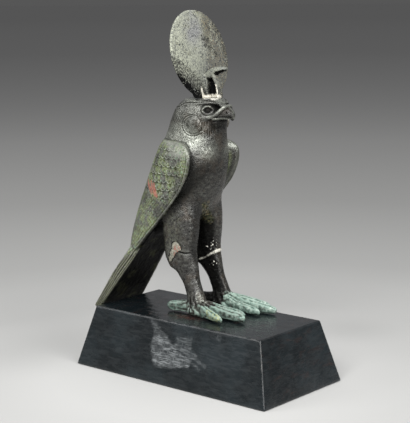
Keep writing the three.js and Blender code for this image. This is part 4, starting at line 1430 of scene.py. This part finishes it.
def discFinish():
    finish, paint, inputs = newFinish("discPatina", 0.7, 0.15, discColours, discClouds)
    net = paint.node("TexVoronoi", feature="DISTANCE_TO_EDGE")
    net.inputs["Scale"].default_value = 1 / discCrazing
    paint.join(paint.place(), net.inputs["Vector"])
    values = paint.values
    values["net"] = net.outputs["Distance"]
    # painted shade and darker patina from the shade mask, broken up by noise, and black at the lower-left
    # edge
    values["ragged"] = paint.plus("shade", ("fine", 0.3, 0.7, -0.55, 0.55))
    speckled = paint.plus(("middle", 0.3, 0.7, -0.3, 0.3), ("fine", 0.3, 0.7, -0.45, 0.45))
    values["edge"] = paint.band(paint.plus("lowEdgeShade", speckled), 0.35, 0.75)
    colour = paint.layers("pale", [
        ("lilac", ("broad", 0.52, 0.66, 0, 0.6)),
        ("lilac", ("lilac", 0.85)),
        ("ochre", ("middle", 0.55, 0.68, 0, 0.6)),
        ("ochre", ("olive", 0.8)),
        ("grey", ("grey", 0.75)),
        ("brown", "warm", ("middle", 0.38, 0.50), 0.85),
        ("dark", "warm", ("fine", 0.48, 0.60, 0, 0.9)),
        ("rusty", "warm", ("rust", 0.54, 0.64, 0, 0.75)),
        ("slate", ("net", 0.14, 0.03), ("middle", 0.40, 0.55, 0.1, 0.6)),
        ("slate", ("fine", 0.48, 0.62, 0, 0.75)),
        # painted shade towards the lower left, black at its edge
        ("dark", ("ragged", 0.25, 0.95, 0, 0.95)),
        ("black", "edge"),
        ("dark", ("hollow", 0.54, 0.85, 0, 0.85)),
        ("pale", ("grit", 0.57, 0.68, 0, 0.65), ("lowEdgeShade", 1, 0.3)),
        # painted shade in the gap behind the hood
        ("black", "recessShade"),
        ("filler", "filler"),
    ])
    paint.join(colour, inputs["Base Color"])
    paint.join(paint.band("fine", 0.3, 0.7, 0.50, 0.78), inputs["Roughness"])
    paint.join(paint.band(paint.most("edge", "recessShade"), 0, 1, 0.5, 0.05), inputs["Specular IOR Level"])
    paint.join(paint.relief([("fine", 0.28), ("grit", 0.1)]), inputs["Normal"])
    return finish


# Plinth, a lacquered wedge with four sloping sides
plinth = {
    "topLength": 139 * mm,
    "topWidth": 62 * mm,
    "ease": 0.9 * mm,
    "step": 0.95 * mm,
    "weld": 0.005 * mm,
    # outline of the label scuff on the right side, as y and height in mm
    "scuff": [(20.6, 39.3), (17.4, 39.1), (12.5, 36.0), (6.0, 31.6), (0.1, 28.0), (-8.7, 22.4), (-19.3, 19.4),
              (-17.0, 14.4), (1.7, 11.1), (12.0, 10.5), (17.1, 22.8), (15.2, 30.0), (16.2, 34.0)],
    "faintScuff": [(-4.0, 31.5), (-17.0, 33.0), (-18.0, 23.0), (-7.0, 23.5)],
    "scratches": [[(-6.0, 24.5), (-17.3, 21.3), (-30.4, 17.5)], [(-9.0, 21.5), (-26.0, 15.0)],
                  [(-4.0, 26.5), (-22.0, 22.5)]],
    "gouge": [(14.0, 24.0), (2.0, 19.5), (-8.0, 18.5)],
    "mark": (-38.0, 36.3),
    "rubbedCorner": (-31, -69.5, 40),
    "residue": ((-17, 3, 40), (4.5, 10, 3)),
    # a paler patch on the front half of the right side: middle and reach, as y and height in mm
    "paleSidePatch": ((-34, 22), (20, 13)),
}


def inOutline(points, outline):
    outline = np.array(outline, float)
    inside = np.zeros(len(points), bool)
    for start, end in zip(outline, np.roll(outline, -1, 0)):
        rise = end[1] - start[1] or 1e-9
        crosses = (start[1] > points[:, 1]) != (end[1] > points[:, 1])
        inside ^= crosses & (points[:, 0] < start[0] + (points[:, 1] - start[1]) / rise * (end[0] - start[0]))
    return inside


# Distance from an outline, less than nothing inside it
def fromOutline(points, outline):
    nearest = fromPath(points, [*outline, outline[0]])
    return np.where(inOutline(points, outline), -nearest, nearest)


def edgeWear(points):
    high = np.array(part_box("plinth")[1]) / mm
    rise = points[:, 2] / high[2]
    halfX = high[0] + (plinth["topWidth"] / mm / 2 - high[0]) * rise
    halfY = high[1] + (plinth["topLength"] / mm / 2 - high[1]) * rise
    gapTop = high[2] - points[:, 2]
    gaps = np.sort(np.stack([halfX - np.abs(points[:, 0]), halfY - np.abs(points[:, 1]), gapTop], 1), axis=1)
    fromEdge = gaps[:, 0] + gaps[:, 1] + 0.35 * grain(points, 5, 81, 2)
    nearUpright = ramp(0, 1, -points[:, 0]) * ramp(0, 1, -points[:, 1]) * (gapTop > 3)
    corner = bell(np.linalg.norm(points - plinth["rubbedCorner"], axis=1), 14)
    amount = np.where(nearUpright > 0.5, 0.1 + 0.75 * rise**2.2, 0.05 + 0.6 * corner)
    return fall(0.2, 0.9, fromEdge) * amount


def labelScuff(points, side):
    fray = 1.1 * grain(points, 1.6, 83, 2)
    scuff = fall(-1.2, 0.6, fromOutline(side, plinth["scuff"]) + fray)
    faint = fall(-1.0, 0.8, fromOutline(side, plinth["faintScuff"]) + fray)
    lines = np.minimum.reduce([fromPath(side, path) for path in plinth["scratches"]])
    mark = bell(np.linalg.norm(side - plinth["mark"], axis=1) - 1.3, 0.7)
    thin = 1 - 0.45 * ramp(27, 33, side[:, 1]) - 0.35 * bell(fromPath(side, plinth["gouge"]), 1.2)
    return np.maximum.reduce([scuff * thin, 0.45 * faint, 0.7 * bell(lines, 0.8), 0.35 * mark])


def markPlinth(mesh):
    points, normals = pointsOf(mesh) / mm, normalsOf(mesh)
    side = points[:, [1, 2]]
    facing = ramp(0.8, 0.9, -normals[:, 0])
    middle, reach = plinth["residue"]
    fromResidue = np.linalg.norm((points - middle) / reach, axis=1)
    keepMasks(mesh, {
        "edge": edgeWear(points),
        "scuff": labelScuff(points, side) * facing,
        "top": ramp(0.8, 0.95, normals[:, 2]),
        "residue": bell(fromResidue + 0.5 * grain(points, 2.5, 87, 2)),
        "paleSidePatch": facing * spot(side, *plinth["paleSidePatch"]),
        "front": ramp(0.8, 0.9, -normals[:, 1]),
    })


def gridLines(half):
    ease = plinth["ease"]
    inner = np.linspace(-half + ease, half - ease, max(3, int(2 * (half - ease) / plinth["step"])))
    corner = half - ease * (1 - np.sin(np.linspace(0, math.pi / 2, 6)[1:]))
    return np.concatenate([-corner[::-1], inner, corner])


# The six gridded sides of a block about the origin
def blockSides(half):
    lines = [gridLines(h) for h in half]
    sides = []
    for axis in range(3):
        u, v = [k for k in range(3) if k != axis]
        for side in (-1, 1):
            grid = np.zeros((len(lines[u]), len(lines[v]), 3))
            grid[..., u] = lines[u][:, None]
            grid[..., v] = lines[v][None, :]
            grid[..., axis] = side * half[axis]
            index = np.arange(grid.shape[0] * grid.shape[1]).reshape(grid.shape[:2])
            quads = np.stack([index[:-1, :-1], index[1:, :-1], index[1:, 1:], index[:-1, 1:]], -1)
            if (side < 0) != (axis == 1):
                quads = quads[..., ::-1]
            sides.append((grid.reshape(-1, 3), quads.reshape(-1, 4).tolist()))
    return joined(sides)


def makePlinth():
    low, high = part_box("plinth")
    size = high - low
    half = np.array(size) / 2
    points, faces = blockSides(half)
    inner = np.clip(points, -(half - plinth["ease"]), half - plinth["ease"])
    away = points - inner
    length = np.maximum(np.linalg.norm(away, axis=1), 1e-12)[:, None]
    points = inner + away / length * plinth["ease"]
    rise = (points[:, 2] + half[2]) / size.z
    points[:, 0] *= 1 + (plinth["topWidth"] / size.x - 1) * rise
    points[:, 1] *= 1 + (plinth["topLength"] / size.y - 1) * rise
    points[:, 2] += half[2]
    piece = addPiece("plinthBlock", newMesh("plinthBlock", points, faces))
    applyModifier(piece, "WELD", merge_threshold=plinth["weld"])
    wearPlinth(piece.data)
    markPlinth(piece.data)
    print("plinth made:", len(piece.data.polygons), "faces")
    return piece


def wearPlinth(mesh):
    points, normals = pointsOf(mesh), normalsOf(mesh)
    corner = ramp(0.45, 0.65, np.sort(np.abs(normals), axis=1)[:, 1])
    dents = np.maximum(0, grain(points, 4 * mm, 85, 2) - 0.15)
    above = ramp(0.5 * mm, 2 * mm, points[:, 2])
    setPoints(mesh, points - normals * (0.35 * mm * corner * dents * above)[:, None])


lacquerColours = {
    "lacquer": (0.0042, 0.0064, 0.0076),
    "lacquerPale": (0.0115, 0.0165, 0.0190),
    "streak": (0.019, 0.025, 0.028),
    "reddish": (0.030, 0.015, 0.012),
    "residue": (0.055, 0.020, 0.015),
    "wornEdge": (0.15, 0.138, 0.12),
    "scuff": (0.22, 0.235, 0.24),
}
lacquerClouds = {
    "broad": (34, 4),
    "streaks": (1.7, 6, 0.65, 0.4, (0.3, 0.2, 1)),
    "fine": (1.0, 4, 0.6),
    "patchCloud": (6, 5, 0.65),
    "swirls": (4, 5, 0.7, 1.2, (0.25, 0.5, 1)),
    "clots": (2.2, 4),
    "alongScuff": (0.8, 4, 0.7, 0.3, (1, 0.12, 1.3)),
    "acrossScuff": (0.8, 4, 0.7, 0.3, (1, 1.2, 0.14)),
    "scraped": (5, 3),
    "ripple": (14, 2, 0.5, 0.3, (1, 0.5, 1)),
    "brushed": (7, 3, 0.55, 0.5),
}


def lacquerFinish():
    finish, paint, inputs = newFinish("blackLacquer", 0.28, 0.0, lacquerColours, lacquerClouds)
    scraped = paint.most(("alongScuff", 0.46, 0.62), ("acrossScuff", 0.52, 0.66, 0, 0.8))
    scraped = paint.plus(paint.times(scraped, ("scraped", 0.38, 0.58, 0.45, 0.85)), 0.09)
    bared = paint.times("scuff", scraped)
    colour = paint.layers("lacquer", [
        ("lacquerPale", ("broad", 0.4, 0.65)),
        ("streak", ("streaks", 0.50, 0.75, 0, 0.3)),
        ("streak", ("fine", 0.55, 0.75, 0, 0.35)),
        ("lacquer", ("top", 0.6)),
        # paler patch on the front half of the right side
        ("streak", "paleSidePatch", ("patchCloud", 0.35, 0.6, 0.2, 0.8)),
        ("reddish", paint.most("front", "top"), ("swirls", 0.52, 0.72, 0, 0.5)),
        ("residue", "residue", ("clots", 0.42, 0.56, 0.1, 1)),
        ("wornEdge", "edge", ("fine", 0.42, 0.6, 0.15, 1), 0.7),
        ("scuff", bared),
    ])
    paint.join(colour, inputs["Base Color"])
    roughness = paint.plus(("streaks", 0.3, 0.7, 0.20, 0.34), (bared, 0.4))
    paint.join(paint.reckon("SUBTRACT", roughness, ("top", 0.03)), inputs["Roughness"])
    brushed = paint.times("brushed", "top")
    paint.join(paint.relief([("ripple", 0.5), (brushed, 0.4), ("streaks", 0.05)]), inputs["Normal"])
    return finish


# Camera, floor and light
view = {
    "azimuth": -49.57,
    "elevation": 9.62,
    "roll": -0.35,
    "distance": 0.8053,
    "target": (0.00008, -0.0001, 0.10703),
    "lens": 106.38,
    "sensor": 36,
    "near": 0.01,
    "far": 200,
}


def makeCamera():
    a, e, r = (math.radians(view[key]) for key in ("azimuth", "elevation", "roll"))
    back = Vector((math.sin(a) * math.cos(e), -math.cos(a) * math.cos(e), math.sin(e)))
    right = Vector((math.cos(a), math.sin(a), 0))
    up = back.cross(right)
    across = right * math.cos(r) + up * math.sin(r)
    upright = up * math.cos(r) - right * math.sin(r)
    data = bpy.data.cameras.new("camera")
    data.lens = view["lens"]
    data.sensor_width = view["sensor"]
    data.clip_start = view["near"]
    data.clip_end = view["far"]
    camera = addPiece("camera", data)
    turned = Matrix((across, upright, back)).transposed().to_4x4()
    camera.matrix_world = Matrix.Translation(Vector(view["target"]) + back * view["distance"]) @ turned
    bpy.context.scene.camera = camera


setting = {
    "floorRadius": 60,
    "floorDrop": 0.0002,
    # distance from the middle and shade
    "shades": [(0.0, 0.49), (0.10, 0.49), (0.14, 0.45), (0.17, 0.43), (0.20, 0.405), (0.28, 0.398),
               (0.36, 0.363), (0.72, 0.33), (1.38, 0.367), (5.0, 0.30), (15, 0.272)],
    # x, y, radius and how much light is left
    "dim": [(-0.035, 0.125, 0.075, 0.87), (0.15, -0.01, 0.055, 0.87)],
    "tint": (1.0, 0.998, 0.972),
    "skyLow": (0.17, 0.17, 0.17),
    "skyHigh": (0.62, 0.62, 0.64),
    "skyStrength": 0.55,
    # place, size and power of each lamp
    "lamps": {
        "key": ((-1.04, -0.43, 0.85), 0.8, 17.5),
        "front": ((-0.25, -1.17, 0.70), 0.8, 13.5),
        "rim": ((-1.05, 0.85, 0.75), 0.7, 6),
        "overhead": ((0.05, 0.1, 1.4), 0.8, 7),
    },
    "lampsAimAt": (0, 0, 0.12),
}


def makeFloor():
    bpy.ops.mesh.primitive_circle_add(vertices=128, radius=setting["floorRadius"], fill_type="NGON")
    floor = bpy.context.object
    floor.name = "floor"
    floor.location.z = -setting["floorDrop"]
    finish, paint, inputs = newFinish("paleFloor", 0.9, 0)
    inputs["Specular IOR Level"].default_value = 0.0
    place = paint.place()
    away = paint.node("VectorMath", operation="LENGTH")
    paint.join(place, away.inputs[0])
    shades = setting["shades"]
    colour = (shades[0][1],) * 3
    for (nearer, _), (further, shade) in zip(shades[:-1], shades[1:]):
        step = paint.band(away.outputs["Value"], nearer, further, way="LINEAR")
        colour = paint.mix(step, colour, (shade,) * 3)
    for x, y, radius, left in setting["dim"]:
        reach = paint.node("VectorMath", operation="DISTANCE")
        paint.join(place, reach.inputs[0])
        reach.inputs[1].default_value = (x, y, 0)
        colour = paint.mix((reach.outputs["Value"], radius, 0, 0, 1), colour, (left,) * 3, "MULTIPLY")
    paint.join(paint.mix(1.0, colour, setting["tint"], "MULTIPLY"), inputs["Base Color"])
    floor.data.materials.append(finish)


def makeLights():
    world = bpy.data.worlds.new("studio")
    bpy.context.scene.world = world
    world.use_nodes = True
    paint = Paint(world.node_tree)
    background = world.node_tree.nodes["Background"]
    apart = paint.node("SeparateXYZ")
    paint.join(paint.node("TexCoord").outputs["Generated"], apart.inputs[0])
    sky = paint.mix((apart.outputs["Z"], 0.0, 0.35), setting["skyLow"], setting["skyHigh"])
    paint.join(sky, background.inputs["Color"])
    background.inputs["Strength"].default_value = setting["skyStrength"]
    for name, (place, size, power) in setting["lamps"].items():
        data = bpy.data.lights.new(name, "AREA")
        data.shape = "SQUARE"
        data.size = size
        data.energy = power
        lamp = addPiece(name, data)
        lamp.location = place
        aim = Vector(setting["lampsAimAt"]) - Vector(place)
        lamp.rotation_mode = "QUATERNION"
        lamp.rotation_quaternion = aim.to_track_quat("-Z", "Y")


def dress(piece, finish, node):
    piece.data.materials.clear()
    piece.data.materials.append(finish)
    piece.data.polygons.foreach_set("use_smooth", [True] * len(piece.data.polygons))
    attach(piece, "root")
    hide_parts(node)


makeCamera()
makeFloor()
makeLights()
bpy.context.scene.view_settings.view_transform = "Standard"
print("studio set")

falconBird = makeFalcon()
carveFalcon(falconBird)
markFalcon(falconBird)
dress(falconBird, bronzeFinish(), "falcon")

sunDisc = makeDisc()
dress(sunDisc, discFinish(), "sun_disc")

plinthBlock = makePlinth()
dress(plinthBlock, lacquerFinish(), "plinth")
print("pieces dressed")
